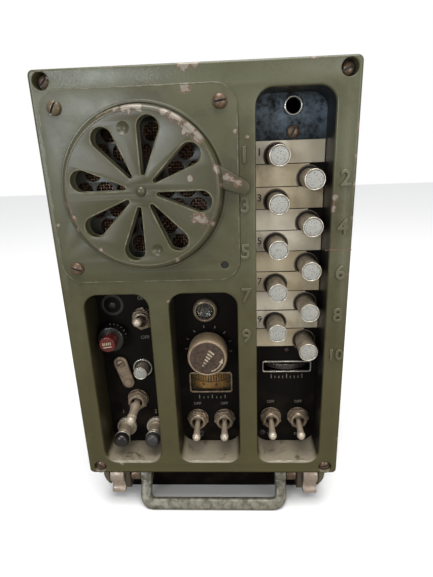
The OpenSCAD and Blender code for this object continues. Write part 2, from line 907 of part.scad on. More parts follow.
switch_lever(5);  // power_lever
call_button();
post_cap(0);  // antenna_cap
post_cap(1);  // ground_cap
pivot_arm();
bail_handle();
latch_shafts();
dynamotor_armature();
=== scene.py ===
"""Looks of a vehicular push-button radio receiver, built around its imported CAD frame.

Lengths in this script are millimetres in panel coordinates: x across, y up from the base,
z out of the control panel towards the user. on_panel() turns them into the frame's metres.
"""
import math
import random

import bpy
from mathutils import Matrix, Vector
from mathutils.geometry import tessellate_polygon


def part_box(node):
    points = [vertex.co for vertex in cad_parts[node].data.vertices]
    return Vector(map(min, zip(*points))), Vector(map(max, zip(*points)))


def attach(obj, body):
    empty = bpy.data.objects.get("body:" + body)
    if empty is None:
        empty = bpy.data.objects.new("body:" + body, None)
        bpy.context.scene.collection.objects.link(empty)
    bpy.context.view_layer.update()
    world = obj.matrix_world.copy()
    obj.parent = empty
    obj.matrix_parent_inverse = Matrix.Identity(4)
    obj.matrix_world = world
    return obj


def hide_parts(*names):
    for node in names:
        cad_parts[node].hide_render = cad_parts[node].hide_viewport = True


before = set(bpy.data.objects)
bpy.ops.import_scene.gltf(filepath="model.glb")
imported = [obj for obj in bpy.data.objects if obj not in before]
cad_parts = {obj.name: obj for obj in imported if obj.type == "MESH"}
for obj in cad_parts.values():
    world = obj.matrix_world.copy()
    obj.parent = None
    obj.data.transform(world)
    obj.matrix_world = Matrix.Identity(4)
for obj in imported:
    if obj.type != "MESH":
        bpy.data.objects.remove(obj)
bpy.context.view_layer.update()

MM = 0.001
GUARD_LOW, GUARD_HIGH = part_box("guard_frame")
PANEL_Y = GUARD_HIGH.y
GUARD_D = (GUARD_HIGH.y - GUARD_LOW.y) / MM
GUARD_W = (GUARD_HIGH.x - GUARD_LOW.x) / MM
GUARD_BOTTOM = GUARD_LOW.z / MM
GUARD_TOP = GUARD_HIGH.z / MM
COVER_LOW, COVER_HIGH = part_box("dust_cover")


# ---------------------------------------------------------------- placing

def cosd(angle):
    return math.cos(math.radians(angle))


def sind(angle):
    return math.sin(math.radians(angle))


def link(made):
    bpy.context.scene.collection.objects.link(made)


def on_panel(x, y, z=0.0, tilt=None):
    """Matrix from millimetres about a point of the panel to the frame's metres."""
    turn = Matrix(((1, 0, 0), (0, 0, -1), (0, 1, 0))).to_4x4()
    place = Matrix.Translation((x * MM, PANEL_Y - z * MM, y * MM)) @ turn @ Matrix.Scale(MM, 4)
    return place @ tilt if tilt else place


def spin(angle, axis="Z"):
    return Matrix.Rotation(math.radians(angle), 4, axis)


def shift(x, y, z=0.0):
    return Matrix.Translation((x, y, z))


# Turns a flat outline's (x, y, height) into (height, x, y): extruded across the panel
SIDEWAYS = Matrix(((0, 0, 1), (1, 0, 0), (0, 1, 0))).to_4x4()


# ---------------------------------------------------------------- outlines

def arc(cx, cy, r, start, end, steps):
    """Points of an arc, angles in degrees."""
    return [
        (cx + r * cosd(start + (end - start) * i / steps),
         cy + r * sind(start + (end - start) * i / steps))
        for i in range(steps + 1)
    ]


def ring(cx, cy, r, steps=40):
    return arc(cx, cy, r, 0, 360, steps)[:-1]


def rounded_box(x0, x1, y0, y1, r, steps=8):
    """Rounded rectangle, anticlockwise."""
    return (arc(x1 - r, y0 + r, r, -90, 0, steps) + arc(x1 - r, y1 - r, r, 0, 90, steps)
            + arc(x0 + r, y1 - r, r, 90, 180, steps) + arc(x0 + r, y0 + r, r, 180, 270, steps))


def turned(points, angle):
    c, s = cosd(angle), sind(angle)
    return [(x * c - y * s, x * s + y * c) for x, y in points]


def area(points):
    return sum(a[0] * b[1] - b[0] * a[1] for a, b in zip(points, points[1:] + points[:1])) / 2


def inset(points, depth):
    """Outline moved towards its left by depth, mitred."""
    made = []
    count = len(points)
    for i, (x, y) in enumerate(points):
        before, after = points[i - 1], points[(i + 1) % count]
        d1 = Vector((x - before[0], y - before[1])).normalized()
        d2 = Vector((after[0] - x, after[1] - y)).normalized()
        n1, n2 = Vector((-d1.y, d1.x)), Vector((-d2.y, d2.x))
        middle = (n1 + n2).normalized()
        reach = depth / max(middle.dot(n1), 0.35)
        made.append((x + middle.x * reach, y + middle.y * reach))
    return made


def fillet(profile, radius, steps=3):
    """Open profile with its corners rounded."""
    made = [profile[0]]
    for before, here, after in zip(profile, profile[1:], profile[2:]):
        p, a, b = Vector(here), Vector(before), Vector(after)
        r = min(radius, (a - p).length * 0.45, (b - p).length * 0.45)
        start, end = p + (a - p).normalized() * r, p + (b - p).normalized() * r
        for i in range(steps + 1):
            t = i / steps
            q = start * (1 - t) ** 2 + p * 2 * t * (1 - t) + end * t ** 2
            made.append((q.x, q.y))
    made.append(profile[-1])
    return made


# ---------------------------------------------------------------- meshes, as (vertices, faces)

def lathe_mesh(profile, steps=40, grip=None):
    """An (r, z) profile turned about z: its ends lie on the axis, or it is a closed ring.

    grip is (ridges, depth, low z, high z): the surface there is cut with that many ridges.
    """
    verts, rows, faces = [], [], []
    for r, z in profile:
        if r < 1e-6:
            rows.append([len(verts)])
            verts.append((0, 0, z))
            continue
        rows.append(list(range(len(verts), len(verts) + steps)))
        cut = 0.0
        if grip and grip[2] < z < grip[3]:
            cut = grip[1]
        for i in range(steps):
            angle = math.tau * i / steps
            here = r - cut * (0.5 - 0.5 * math.cos(angle * grip[0])) if cut else r
            verts.append((here * math.cos(angle), here * math.sin(angle), z))
    pairs = list(zip(rows, rows[1:]))
    if profile[0][0] > 1e-6:
        pairs.append((rows[-1], rows[0]))
    for low, high in pairs:
        for i in range(steps):
            j = (i + 1) % steps
            if len(low) == 1:
                faces.append((low[0], high[j], high[i]))
            elif len(high) == 1:
                faces.append((low[i], low[j], high[0]))
            else:
                faces.append((low[i], low[j], high[j], high[i]))
    return verts, faces


def plate_mesh(loops, z0, z1, bevel=0.4, steps=3):
    """An outline with holes, extruded, with rounded edges.

    Each loop is a list of points, or (points, bevel) to round it by its own amount.
    """
    verts, faces, tops, bottoms = [], [], [], []
    for index, loop in enumerate(loops):
        points, edge = loop if isinstance(loop, tuple) else (loop, bevel)
        if (area(points) > 0) != (index == 0):
            points = points[::-1]
        edge = min(edge, (z1 - z0) * 0.49)
        quarter = [(edge * (1 - math.cos(math.pi / 2 * k / steps)), edge * math.sin(math.pi / 2 * k / steps))
                   for k in range(steps + 1)]
        if edge <= 0:
            quarter = [(0, 0)]
        levels = [(d, z0 + edge - h) for d, h in reversed(quarter)] + [(d, z1 - edge + h) for d, h in quarter]
        rows = []
        for depth, z in levels:
            rows.append(list(range(len(verts), len(verts) + len(points))))
            verts += [(x, y, z) for x, y in (inset(points, depth) if depth > 1e-9 else points)]
        for low, high in zip(rows, rows[1:]):
            for i in range(len(points)):
                j = (i + 1) % len(points)
                faces.append((low[i], low[j], high[j], high[i]))
        bottoms.append(rows[0])
        tops.append(rows[-1])
    for caps, flip in ((bottoms, True), (tops, False)):
        flat = [i for row in caps for i in row]
        loops_3d = [[Vector((verts[i][0], verts[i][1], 0)) for i in row] for row in caps]
        for tri in tessellate_polygon(loops_3d):
            a, b, c = (flat[i] for i in tri)
            turn = ((verts[b][0] - verts[a][0]) * (verts[c][1] - verts[a][1])
                    - (verts[c][0] - verts[a][0]) * (verts[b][1] - verts[a][1]))
            if abs(turn) > 1e-9:
                faces.append((a, b, c) if (turn > 0) != flip else (a, c, b))
    return verts, faces


def loft_mesh(rows, closed=False):
    """Rings of equal point counts joined in order; open ends are capped with fans."""
    count = len(rows[0])
    verts = [tuple(p) for row in rows for p in row]
    faces = []
    pairs = [(k, k + 1) for k in range(len(rows) - 1)]
    if closed:
        pairs.append((len(rows) - 1, 0))
    for k, n in pairs:
        for i in range(count):
            j = (i + 1) % count
            faces.append((k * count + i, k * count + j, n * count + j, n * count + i))
    if not closed:
        for k, flip in ((0, True), (len(rows) - 1, False)):
            middle = len(verts)
            verts.append(tuple(sum(axis) / count for axis in zip(*rows[k])))
            for i in range(count):
                a, b = k * count + i, k * count + (i + 1) % count
                faces.append((b, a, middle) if flip else (a, b, middle))
    return verts, faces


def joined(*meshes):
    verts, faces = [], []
    for more_verts, more_faces in meshes:
        base = len(verts)
        verts += list(more_verts)
        faces += [tuple(i + base for i in face) for face in more_faces]
    return verts, faces


def moved(mesh, matrix):
    return [tuple(matrix @ Vector(v)) for v in mesh[0]], mesh[1]


def mirrored(mesh):
    """The mesh reflected in x, its faces turned to keep them facing out."""
    return [(-x, y, z) for x, y, z in mesh[0]], [tuple(reversed(face)) for face in mesh[1]]


# ---------------------------------------------------------------- pieces

def piece(name, mesh_data, material, place, body="receiver", replaces=(), slot=None, sharp=38):
    """A mesh object in the frame that rides on a CAD body."""
    mesh = bpy.data.meshes.new(name)
    mesh.from_pydata([place @ Vector(v) for v in mesh_data[0]], [], mesh_data[1])
    mesh.validate()
    mesh.polygons.foreach_set("use_smooth", [True] * len(mesh.polygons))
    mesh.set_sharp_from_angle(angle=math.radians(sharp))
    mesh.materials.append(material)
    made = bpy.data.objects.new(name, mesh)
    link(made)
    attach(made, body)
    if replaces:
        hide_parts(*replaces)
    return made


def lettering(name, text, size, depth, material, place, body="receiver", raised=0.0, slot=None):
    """Generic numerals or ON and OFF as a thin solid."""
    font = bpy.data.curves.new(name + "_font", "FONT")
    font.body = text
    font.size = size
    font.align_x = font.align_y = "CENTER"
    font.extrude = depth
    font.bevel_depth = raised
    font.bevel_resolution = 1
    font.resolution_u = 3
    holder = bpy.data.objects.new(name + "_font", font)
    link(holder)
    bpy.context.view_layer.update()
    flat = bpy.data.meshes.new_from_object(holder.evaluated_get(bpy.context.evaluated_depsgraph_get()))
    data = ([tuple(v.co) for v in flat.vertices], [tuple(f.vertices) for f in flat.polygons])
    bpy.data.objects.remove(holder)
    bpy.data.meshes.remove(flat)
    return piece(name, data, material, place, body, slot=slot, sharp=50)


# ---------------------------------------------------------------- material kit

class Surface:
    """A Principled material and short calls that grow its node tree."""

    def __init__(self, name, roughness=0.5, metallic=0.0, **values):
        self.material = bpy.data.materials.new(name)
        self.material.use_nodes = True
        self.tree = self.material.node_tree
        self.shader = self.tree.nodes["Principled BSDF"]
        self.shader.inputs["Roughness"].default_value = roughness
        self.shader.inputs["Metallic"].default_value = metallic
        for key, value in values.items():
            self.shader.inputs[key.replace("_", " ")].default_value = value
        self.place = self.node("ShaderNodeTexCoord").outputs["Object"]

    def node(self, kind, **options):
        made = self.tree.nodes.new(kind)
        for key, value in options.items():
            setattr(made, key, value)
        return made

    def put(self, socket, value):
        if isinstance(value, bpy.types.NodeSocket):
            self.tree.links.new(value, socket)
        else:
            socket.default_value = value

    def set(self, name, value):
        self.put(self.shader.inputs[name], value)

    def noise(self, size_mm, detail=4.0, rough=0.55, stretch=(1, 1, 1), distortion=0.0):
        """Noise whose lumps are about size_mm across."""
        mapping = self.node("ShaderNodeMapping")
        self.put(mapping.inputs["Vector"], self.place)
        mapping.inputs["Scale"].default_value = stretch
        made = self.node("ShaderNodeTexNoise")
        self.put(made.inputs["Vector"], mapping.outputs["Vector"])
        made.inputs["Scale"].default_value = 1000 / size_mm
        made.inputs["Detail"].default_value = detail
        made.inputs["Roughness"].default_value = rough
        made.inputs["Distortion"].default_value = distortion
        return made.outputs["Fac"]

    def cells(self, size_mm):
        """Distance to the nearest of scattered points about size_mm apart."""
        made = self.node("ShaderNodeTexVoronoi")
        self.put(made.inputs["Vector"], self.place)
        made.inputs["Scale"].default_value = 1000 / size_mm
        return made.outputs["Distance"]

    def math(self, operation, a, b=0.0, clamp=False):
        made = self.node("ShaderNodeMath", operation=operation, use_clamp=clamp)
        self.put(made.inputs[0], a)
        self.put(made.inputs[1], b)
        return made.outputs[0]

    def times(self, a, b):
        return self.math("MULTIPLY", a, b)

    def plus(self, a, b):
        return self.math("ADD", a, b)

    def larger(self, a, b):
        return self.math("MAXIMUM", a, b)

    def flipped(self, a):
        """1 where a is 0 and 0 where it is 1."""
        return self.math("SUBTRACT", 1.0, a)

    def step(self, value, low, high):
        """0 below low and 1 above high, smooth between."""
        made = self.node("ShaderNodeMapRange", interpolation_type="SMOOTHSTEP")
        self.put(made.inputs["Value"], value)
        made.inputs["From Min"].default_value = low
        made.inputs["From Max"].default_value = high
        return made.outputs["Result"]

    def mix(self, share, a, b):
        made = self.node("ShaderNodeMix", data_type="RGBA")
        self.put(made.inputs["Factor"], share)
        for socket, value in ((made.inputs[6], a), (made.inputs[7], b)):
            self.put(socket, value if isinstance(value, bpy.types.NodeSocket) else (*value, 1.0))
        return made.outputs[2]

    def blend(self, share, a, b):
        """a where share is 0 and b where it is 1, for numbers."""
        made = self.node("ShaderNodeMix", data_type="FLOAT")
        self.put(made.inputs["Factor"], share)
        self.put(made.inputs[2], a)
        self.put(made.inputs[3], b)
        return made.outputs[0]

    def axis(self, name):
        split = self.node("ShaderNodeSeparateXYZ")
        self.put(split.inputs[0], self.place)
        return split.outputs[name]

    def normal_axis(self, name):
        split = self.node("ShaderNodeSeparateXYZ")
        self.put(split.inputs[0], self.node("ShaderNodeNewGeometry").outputs["Normal"])
        return split.outputs[name]

    def edges(self, radius_mm):
        """0 on flats, rising to about 0.3 along sharp edges."""
        bevel = self.node("ShaderNodeBevel", samples=4)
        bevel.inputs["Radius"].default_value = radius_mm * MM
        dot = self.node("ShaderNodeVectorMath", operation="DOT_PRODUCT")
        self.put(dot.inputs[0], bevel.outputs["Normal"])
        self.put(dot.inputs[1], self.node("ShaderNodeNewGeometry").outputs["True Normal"])
        return self.math("SUBTRACT", 1.0, dot.outputs["Value"], clamp=True)

    def near(self, points):
        """Up to 1 at the middle of the (x, y, z, radius) balls given in panel millimetres, 0 outside."""
        total = 0.0
        for x, y, z, r in points:
            gap = self.node("ShaderNodeVectorMath", operation="DISTANCE")
            self.put(gap.inputs[0], self.place)
            gap.inputs[1].default_value = on_panel(x, y, z) @ Vector((0, 0, 0))
            share = self.flipped(self.math("DIVIDE", gap.outputs["Value"], r * MM))
            total = self.larger(total, share)
        return total

    def bump(self, height, strength, depth_mm, under=None):
        made = self.node("ShaderNodeBump")
        made.inputs["Strength"].default_value = strength
        made.inputs["Distance"].default_value = depth_mm * MM
        self.put(made.inputs["Height"], height)
        if under is not None:
            self.put(made.inputs["Normal"], under)
        self.put(self.shader.inputs["Normal"], made.outputs["Normal"])
        return made.outputs["Normal"]


# ---------------------------------------------------------------- materials

PRIMER = (0.130, 0.068, 0.043)
CHIPPED = (0.33, 0.298, 0.245)
DUSTY_SILL = (0.285, 0.245, 0.178)

# Where the guard's paint changes, in frame metres: each pair is the two ends of a smooth step. The first
# three bound the painted shade on the window walls, the last the dust on the sills
BEHIND_FACE = (-0.1744, -0.1715)
PAST_WINDOWS = (0.0745, 0.0755)
FAR_RIGHT_WALL = (0.055, 0.067)
ABOVE_SILLS = (0.047, 0.053)


def olive_paint(name, low, high, chips=(), wear=1.0, windows=False, gloss=0.34, grain=0.25):
    """Olive paint over primer over cast alloy: mottled, rubbed at edges, chipped at given spots.

    windows paints shade on the walls of the guard's openings, darkest on the right window's far wall, and
    lays pale dust on their sills.
    """
    s = Surface(name, roughness=gloss, Specular_IOR_Level=0.55)
    # Painted light: the paint runs from low, its shaded colour near the base, to high, its lit colour near
    # the top
    painted_light_by_height = s.step(s.axis("Z"), 0.05, 0.27)
    base = s.mix(painted_light_by_height, low, high)
    base = s.mix(s.step(s.noise(38, 5, 0.62), 0.38, 0.72), base, tuple(c * 0.82 for c in low))
    base = s.mix(s.times(s.step(s.noise(7, 6, 0.7), 0.55, 0.8), 0.3), base,
                 tuple(c * 1.3 + 0.006 for c in high))
    grime = s.step(s.noise(16, 6, 0.75, distortion=0.6), 0.56, 0.74)
    base = s.mix(s.times(grime, 0.35), base, (0.03, 0.026, 0.014))
    edge = s.times(s.edges(0.8), 1.5 * wear)
    ragged = s.noise(2.6, 5, 0.7)
    worn = s.plus(edge, s.times(ragged, 0.9))
    rub = s.step(worn, 0.8, 0.92)
    specks = s.step(s.noise(1.6, 2, 0.5), 0.81 - 0.04 * wear, 0.835 - 0.04 * wear)
    bare = s.larger(s.times(rub, 0.6), s.times(specks, 0.35 * wear))
    primer = s.step(worn, 0.74, 0.84)
    if windows:
        # Painted shade: walls inside the window openings, behind the face, are darkened, and the right
        # window's far wall is nearly black
        behind = s.step(s.axis("Y"), *BEHIND_FACE)
        sideways = s.flipped(s.step(s.normal_axis("Z"), 0.3, 0.7))
        inner = s.flipped(s.step(s.math("ABSOLUTE", s.axis("X")), *PAST_WINDOWS))
        shade = s.times(s.times(behind, sideways), inner)
        base = s.mix(s.times(shade, 0.85), base, (0.014, 0.011, 0.006))
        far_right_painted_shade = s.times(shade, s.step(s.axis("X"), *FAR_RIGHT_WALL))
        base = s.mix(far_right_painted_shade, base, (0.004, 0.0035, 0.003))
    if chips:
        near = s.near(chips)
        torn = s.plus(ragged, s.times(s.noise(6.5, 3, 0.6), 0.9))
        spot = s.plus(near, s.times(s.math("SUBTRACT", torn, 0.98), 2.2))
        inside = s.step(near, 0.02, 0.1)
        primer = s.larger(primer, s.times(s.step(spot, 0.2, 0.26), inside))
        core = s.math("SUBTRACT", spot, s.times(s.noise(4, 4, 0.7), 0.82))
        bare = s.larger(bare, s.times(s.step(core, 0.0, 0.08), inside))
    colour = s.mix(s.times(primer, 0.8), base, PRIMER)
    chipped = s.mix(s.noise(3, 5, 0.7), CHIPPED, tuple(c * 0.5 for c in CHIPPED))
    colour = s.mix(s.times(bare, 0.8), colour, chipped)
    if windows:
        up = s.step(s.normal_axis("Z"), 0.35, 0.8)
        low_down = s.flipped(s.step(s.axis("Z"), *ABOVE_SILLS))
        patchy = s.step(s.noise(9, 6, 0.7), 0.3, 0.46)
        dust = s.mix(s.noise(3, 5, 0.7), DUSTY_SILL, tuple(c * 0.6 for c in DUSTY_SILL))
        colour = s.mix(s.times(s.times(up, low_down), patchy), colour, dust)
    s.set("Base Color", colour)
    s.set("Metallic", s.times(bare, 0.2))
    s.set("Roughness", s.blend(s.noise(12, 4, 0.6), gloss - 0.08, gloss + 0.14))
    under = s.bump(s.noise(1.3, 3, 0.6), grain, 0.16)
    s.bump(s.flipped(s.larger(bare, primer)), 0.5, 0.15, under)
    return s.material


def black_panel():
    """Fine black wrinkle paint with a painted bluish sheen in patches high up, dusty brown low down."""
    s = Surface("black_panel", roughness=0.5, Specular_IOR_Level=0.1)
    high = s.step(s.axis("Z"), 0.235, 0.262)
    low_down = s.flipped(s.step(s.axis("Z"), 0.04, 0.11))
    base = s.mix(s.noise(30, 4), (0.0022, 0.0017, 0.0013), (0.0048, 0.0036, 0.0027))
    # Painted sheen: bluish patches of reflected light painted high on the panel
    base = s.mix(s.times(high, s.step(s.noise(5, 6, 0.75), 0.3, 0.65)), base, (0.13, 0.165, 0.20))
    dust = s.times(s.step(s.noise(14, 6, 0.7), 0.45, 0.75), s.blend(low_down, 0.1, 0.55))
    base = s.mix(dust, base, (0.026, 0.016, 0.009))
    scuff = s.step(s.noise(4, 6, 0.8, stretch=(1, 1, 2.5)), 0.7, 0.78)
    s.set("Base Color", s.mix(s.times(scuff, 0.35), base, (0.11, 0.095, 0.08)))
    s.bump(s.noise(0.7, 2, 0.5), 0.5, 0.1)
    return s.material


def metal(name, colour, dark, roughness=0.38, size=3.0, tarnish=0.5, bump=0.15, metallic=0.85, edge=None):
    """Dull plated metal with tarnish, fine scratches and, if given, brighter edges."""
    s = Surface(name, metallic=metallic)
    stain = s.step(s.noise(size * 2.2, 5, 0.65), 0.35, 0.7)
    base = s.mix(s.times(stain, tarnish), colour, dark)
    scratch = s.noise(size, 6, 0.75)
    base = s.mix(s.times(s.step(scratch, 0.5, 0.75), 0.5), base, dark)
    if edge:
        base = s.mix(s.step(s.edges(0.35), 0.08, 0.3), base, edge)
    s.set("Base Color", base)
    s.set("Roughness", s.blend(stain, roughness - 0.08, roughness + 0.2))
    s.bump(scratch, bump, 0.08)
    return s.material


def pebbled(name, colour, pit):
    """Button face: fine raised grain with dark pits."""
    s = Surface(name, roughness=0.5, metallic=0.35)
    grain = s.cells(0.7)
    holes = s.flipped(s.step(s.cells(0.95), 0.2, 0.34))
    base = s.mix(s.noise(6, 4, 0.6), colour, tuple(c * 0.7 for c in colour))
    s.set("Base Color", s.mix(s.times(holes, 0.75), base, pit))
    s.bump(grain, 0.7, 0.18)
    return s.material


def moulded(name, light, dark, roughness=0.5, size=4.0, bump=0.1, **values):
    """Moulded or lacquered stuff: two close tones, uneven gloss, fine texture."""
    s = Surface(name, **values)
    s.set("Base Color", s.mix(s.step(s.noise(size, 5, 0.6), 0.3, 0.7), dark, light))
    s.set("Roughness", s.blend(s.noise(size * 0.6, 4), roughness - 0.1, roughness + 0.12))
    s.bump(s.noise(size * 0.15, 3), bump, 0.06)
    return s.material


def ivory(name, light, dark):
    """Yellowed celluloid strip with broad streaks and grime, and painted shadow browning it towards its right
    end.
    """
    s = Surface(name, roughness=0.3, Coat_Weight=0.4, Coat_Roughness=0.15)
    base = s.mix(s.noise(9, 5, 0.65), dark, light)
    streak = s.step(s.noise(16, 5, 0.7, stretch=(1, 1, 0.5)), 0.5, 0.72)
    base = s.mix(s.times(streak, 0.6), base, (0.24, 0.17, 0.08))
    grime = s.step(s.noise(3, 6, 0.8), 0.62, 0.75)
    # Painted shadow: browner towards the right, where the window's side wall shades the strips' ends
    painted_shadow_right = s.step(s.plus(s.axis("X"), s.times(s.noise(20, 3), 0.03)), 0.058, 0.074)
    base = s.mix(s.times(painted_shadow_right, 0.55), base, (0.34, 0.27, 0.16))
    s.set("Base Color", s.mix(s.times(grime, 0.45), base, (0.11, 0.085, 0.055)))
    s.bump(s.noise(5, 3), 0.15, 0.1)
    return s.material


def clear_pane(name, tint, alpha):
    """Thin window that lets the lights through."""
    s = Surface(name, roughness=0.08, Alpha=alpha)
    s.set("Base Color", s.mix(s.noise(3, 4), tint, tuple(c * 0.7 for c in tint)))
    s.bump(s.noise(1.5, 3), 0.05, 0.05)
    return s.material


def worn_line(name, paint, bright):
    """Pale patchy line along an edge: painted highlight where light catches the edge, in places also paint
    rubbed through.
    """
    s = Surface(name, roughness=0.4, Specular_IOR_Level=0.3)
    s.set("Base Color", s.mix(s.step(s.noise(6, 5, 0.7), 0.42, 0.66), paint, bright))
    s.bump(s.noise(1, 3), 0.2, 0.05)
    return s.material


def glass(name, tint, roughness):
    s = Surface(name, roughness=roughness, IOR=1.5, Transmission_Weight=1.0)
    s.set("Base Color", s.mix(s.noise(3, 4), tint, tuple(c * 0.85 for c in tint)))
    s.bump(s.noise(1.5, 3), 0.05, 0.05)
    return s.material


# Each chip is (x, y, z, radius) in panel millimetres
CHIPS_SHUTTER = [
    (-47, 262, 30, 4), (-40, 263.5, 30, 5), (-33, 264, 30, 6), (-27.5, 263.5, 30, 4.5), (-14, 260.5, 30, 4.5),
    (-8, 257.5, 30, 5.5), (-2.5, 253, 30, 5.5), (2, 248, 30, 4.5), (10.5, 232, 29.5, 4.2), (13, 224, 29, 2.5),
    (12.8, 214, 29, 2.5), (1.5, 207.5, 31, 6), (-3, 227.6, 31, 2), (7.8, 204, 30, 2), (-12.5, 184, 30, 2.6),
    (-71.2, 224, 29, 3.2), (-70, 216, 29, 3), (-68, 208, 29.5, 4), (-66, 203, 29.5, 3), (-54, 191.5, 30, 2.2),
    (-42, 185, 30, 2.4), (17, 227.5, 27, 3.5), (22, 224.5, 27, 3),
]
CHIPS_PLATE = [(-4.5, 272.3, 24.3, 4.5), (20.5, 250, 24, 1.6), (-79.5, 205, 24, 1.8)]
CHIPS_GUARD = [
    (-4, 283, 22, 6), (2, 283, 22, 4), (60, 283, 22, 2.5), (-40, 283, 22, 2.5), (84, 250, 22, 3),
    (84, 236, 22, 3), (84, 222, 22, 3.4), (84, 204, 22, 3), (84, 172, 22, 3), (84, 140, 22, 2),
    (72.6, 209, 23, 4), (73, 215, 23, 2.4), (-84, 200, 20, 2), (-61, 41, 22.5, 2), (-21, 158, 23, 1.6),
    (27, 247, 23, 1.6), (84, 60, 22, 2.4),
]

# Painted light: each olive below runs from its first colour, shaded, low down to its second, lit, high up
OLIVE_SHADED_LOW, OLIVE_LIT_HIGH = (0.056, 0.048, 0.014), (0.088, 0.090, 0.047)
GUARD_PAINT = olive_paint("olive_guard", OLIVE_SHADED_LOW, OLIVE_LIT_HIGH, CHIPS_GUARD, windows=True, grain=0.55)
PLATE_PAINT = olive_paint("olive_plate", (0.048, 0.043, 0.014), (0.080, 0.079, 0.040), CHIPS_PLATE, wear=0.8)
SHUTTER_PAINT = olive_paint("olive_shutter", (0.057, 0.051, 0.021), (0.058, 0.054, 0.024), CHIPS_SHUTTER,
                            grain=0.15)
CHIPS_COVER = [(x, y, z, r) for z in (-6, -308) for x, y, r in (
    (79, 280, 5), (-79, 281, 6), (79, 6, 5), (-80, 2, 6), (30, 282, 4), (-80, 150, 3.5), (80, 204, 4))]
COVER_PAINT = olive_paint("olive_cover", OLIVE_SHADED_LOW, (0.080, 0.078, 0.040), CHIPS_COVER, wear=1.3, gloss=0.42)
# Darker brown than the bracket on the inner cheeks
CHEEK_PAINT = olive_paint("dark_cheek", (0.05, 0.038, 0.022), (0.05, 0.038, 0.022), wear=1.2, gloss=0.5)
BRACKET_PAINT = olive_paint("olive_bracket", (0.10, 0.09, 0.05), (0.10, 0.09, 0.05), wear=1.3, gloss=0.5)
# Lighter olive on the raised numerals: painted highlight on their strokes, and worn tops
NUMERAL_HIGHLIGHT_PAINT = olive_paint("olive_numerals", (0.082, 0.072, 0.030), (0.124, 0.126, 0.075), wear=1.4)
EDGE_HIGHLIGHT_AND_WEAR = worn_line("edge_highlight_and_wear", (0.085, 0.078, 0.038), (0.175, 0.165, 0.115))
SILL_LIP_HIGHLIGHT = worn_line("sill_lip", (0.26, 0.235, 0.17), (0.52, 0.50, 0.41))
BACK_PAINT = olive_paint("olive_inner_plate", (0.028, 0.027, 0.018), (0.036, 0.038, 0.032), gloss=0.35)
PANEL = black_panel()
BUTTON = metal("button_metal", (0.40, 0.345, 0.27), (0.13, 0.10, 0.07), 0.36, size=2.4, tarnish=0.6,
               bump=0.12, metallic=0.6)
BUTTON_RIM = metal("button_rim", (0.56, 0.52, 0.45), (0.32, 0.28, 0.22), 0.3, size=1.2, tarnish=0.4, bump=0.1)
BUTTON_FACE = pebbled("button_face", (0.42, 0.42, 0.39), (0.06, 0.05, 0.04))
WORN = metal("worn_metal", (0.28, 0.215, 0.15), (0.085, 0.058, 0.035), 0.4, size=1.6, tarnish=0.7,
             metallic=0.5, edge=(0.46, 0.39, 0.29))
LEVER = metal("lever_metal", (0.38, 0.31, 0.23), (0.19, 0.13, 0.08), 0.38, size=3, tarnish=0.5, metallic=0.4)
LEVER_TIP = metal("lever_tip", (0.50, 0.43, 0.34), (0.30, 0.23, 0.16), 0.36, size=2.5,
                  tarnish=0.4, metallic=0.4)
STEEL = metal("bare_steel", (0.45, 0.37, 0.30), (0.20, 0.14, 0.10), 0.42, size=4, tarnish=0.5, metallic=0.5,
              edge=(0.6, 0.53, 0.44))
SCREW = metal("rusty_screw", (0.17, 0.112, 0.072), (0.055, 0.03, 0.018), 0.38, size=1.5, tarnish=0.8,
              metallic=0.5, edge=(0.27, 0.19, 0.13))
PAINTED_SCREW = metal("painted_screw", (0.16, 0.125, 0.075), (0.075, 0.05, 0.028), 0.36, size=1.8,
                      tarnish=0.7, metallic=0.4, edge=(0.27, 0.22, 0.15))
CHROME = metal("bright_trim", (0.60, 0.58, 0.52), (0.26, 0.23, 0.18), 0.32, size=2, tarnish=0.5)
DARK = metal("dark_metal", (0.030, 0.028, 0.026), (0.012, 0.010, 0.009), 0.45, metallic=0.4)
WHEEL = metal("wheel_metal", (0.09, 0.085, 0.075), (0.02, 0.018, 0.015), 0.24, size=1.5, tarnish=0.6,
              metallic=0.8)
HANDLE_PAINT = metal("worn_handle", (0.20, 0.19, 0.145), (0.05, 0.045, 0.028), 0.42, size=1.8,
                     tarnish=0.9, metallic=0.15, bump=0.4)
BRONZE = metal("bronze_wire", (0.17, 0.095, 0.06), (0.03, 0.02, 0.015), 0.45, size=2.5, tarnish=0.85)
BRASS = metal("pin_brass", (0.45, 0.33, 0.14), (0.2, 0.13, 0.05), 0.35, size=2, tarnish=0.5)
SHEET = metal("bare_sheet", (0.42, 0.41, 0.38), (0.22, 0.21, 0.19), 0.4, size=8, tarnish=0.5)
CAN = metal("bright_aluminium", (0.62, 0.62, 0.60), (0.4, 0.4, 0.38), 0.32, size=10, tarnish=0.4)
COPPER = metal("copper_winding", (0.45, 0.20, 0.09), (0.2, 0.08, 0.03), 0.4, size=1.5, tarnish=0.5, bump=0.5)
SHELL = moulded("black_shell", (0.02, 0.02, 0.022), (0.01, 0.01, 0.011), 0.35, size=10)
BLACK = moulded("black_bakelite", (0.012, 0.010, 0.009), (0.006, 0.005, 0.004), 0.26)
DULL_BLACK = moulded("dull_black", (0.038, 0.035, 0.033), (0.016, 0.015, 0.014), 0.45, size=2.5)
RED = moulded("red_cap", (0.10, 0.010, 0.008), (0.045, 0.005, 0.004), 0.24, size=3)
PAPER = moulded("cone_paper", (0.09, 0.06, 0.035), (0.05, 0.035, 0.02), 0.85, size=3, bump=0.5)
CARD_LIGHT = ivory("ivory_light", (0.86, 0.82, 0.70), (0.66, 0.59, 0.44))
CARD_DARK = ivory("ivory_dark", (0.68, 0.60, 0.44), (0.48, 0.39, 0.24))
SCRATCH = moulded("scratched_primer", (0.24, 0.10, 0.06), (0.12, 0.06, 0.035), 0.5, size=2)
INK = moulded("ink", (0.014, 0.013, 0.012), (0.007, 0.006, 0.006), 0.6)
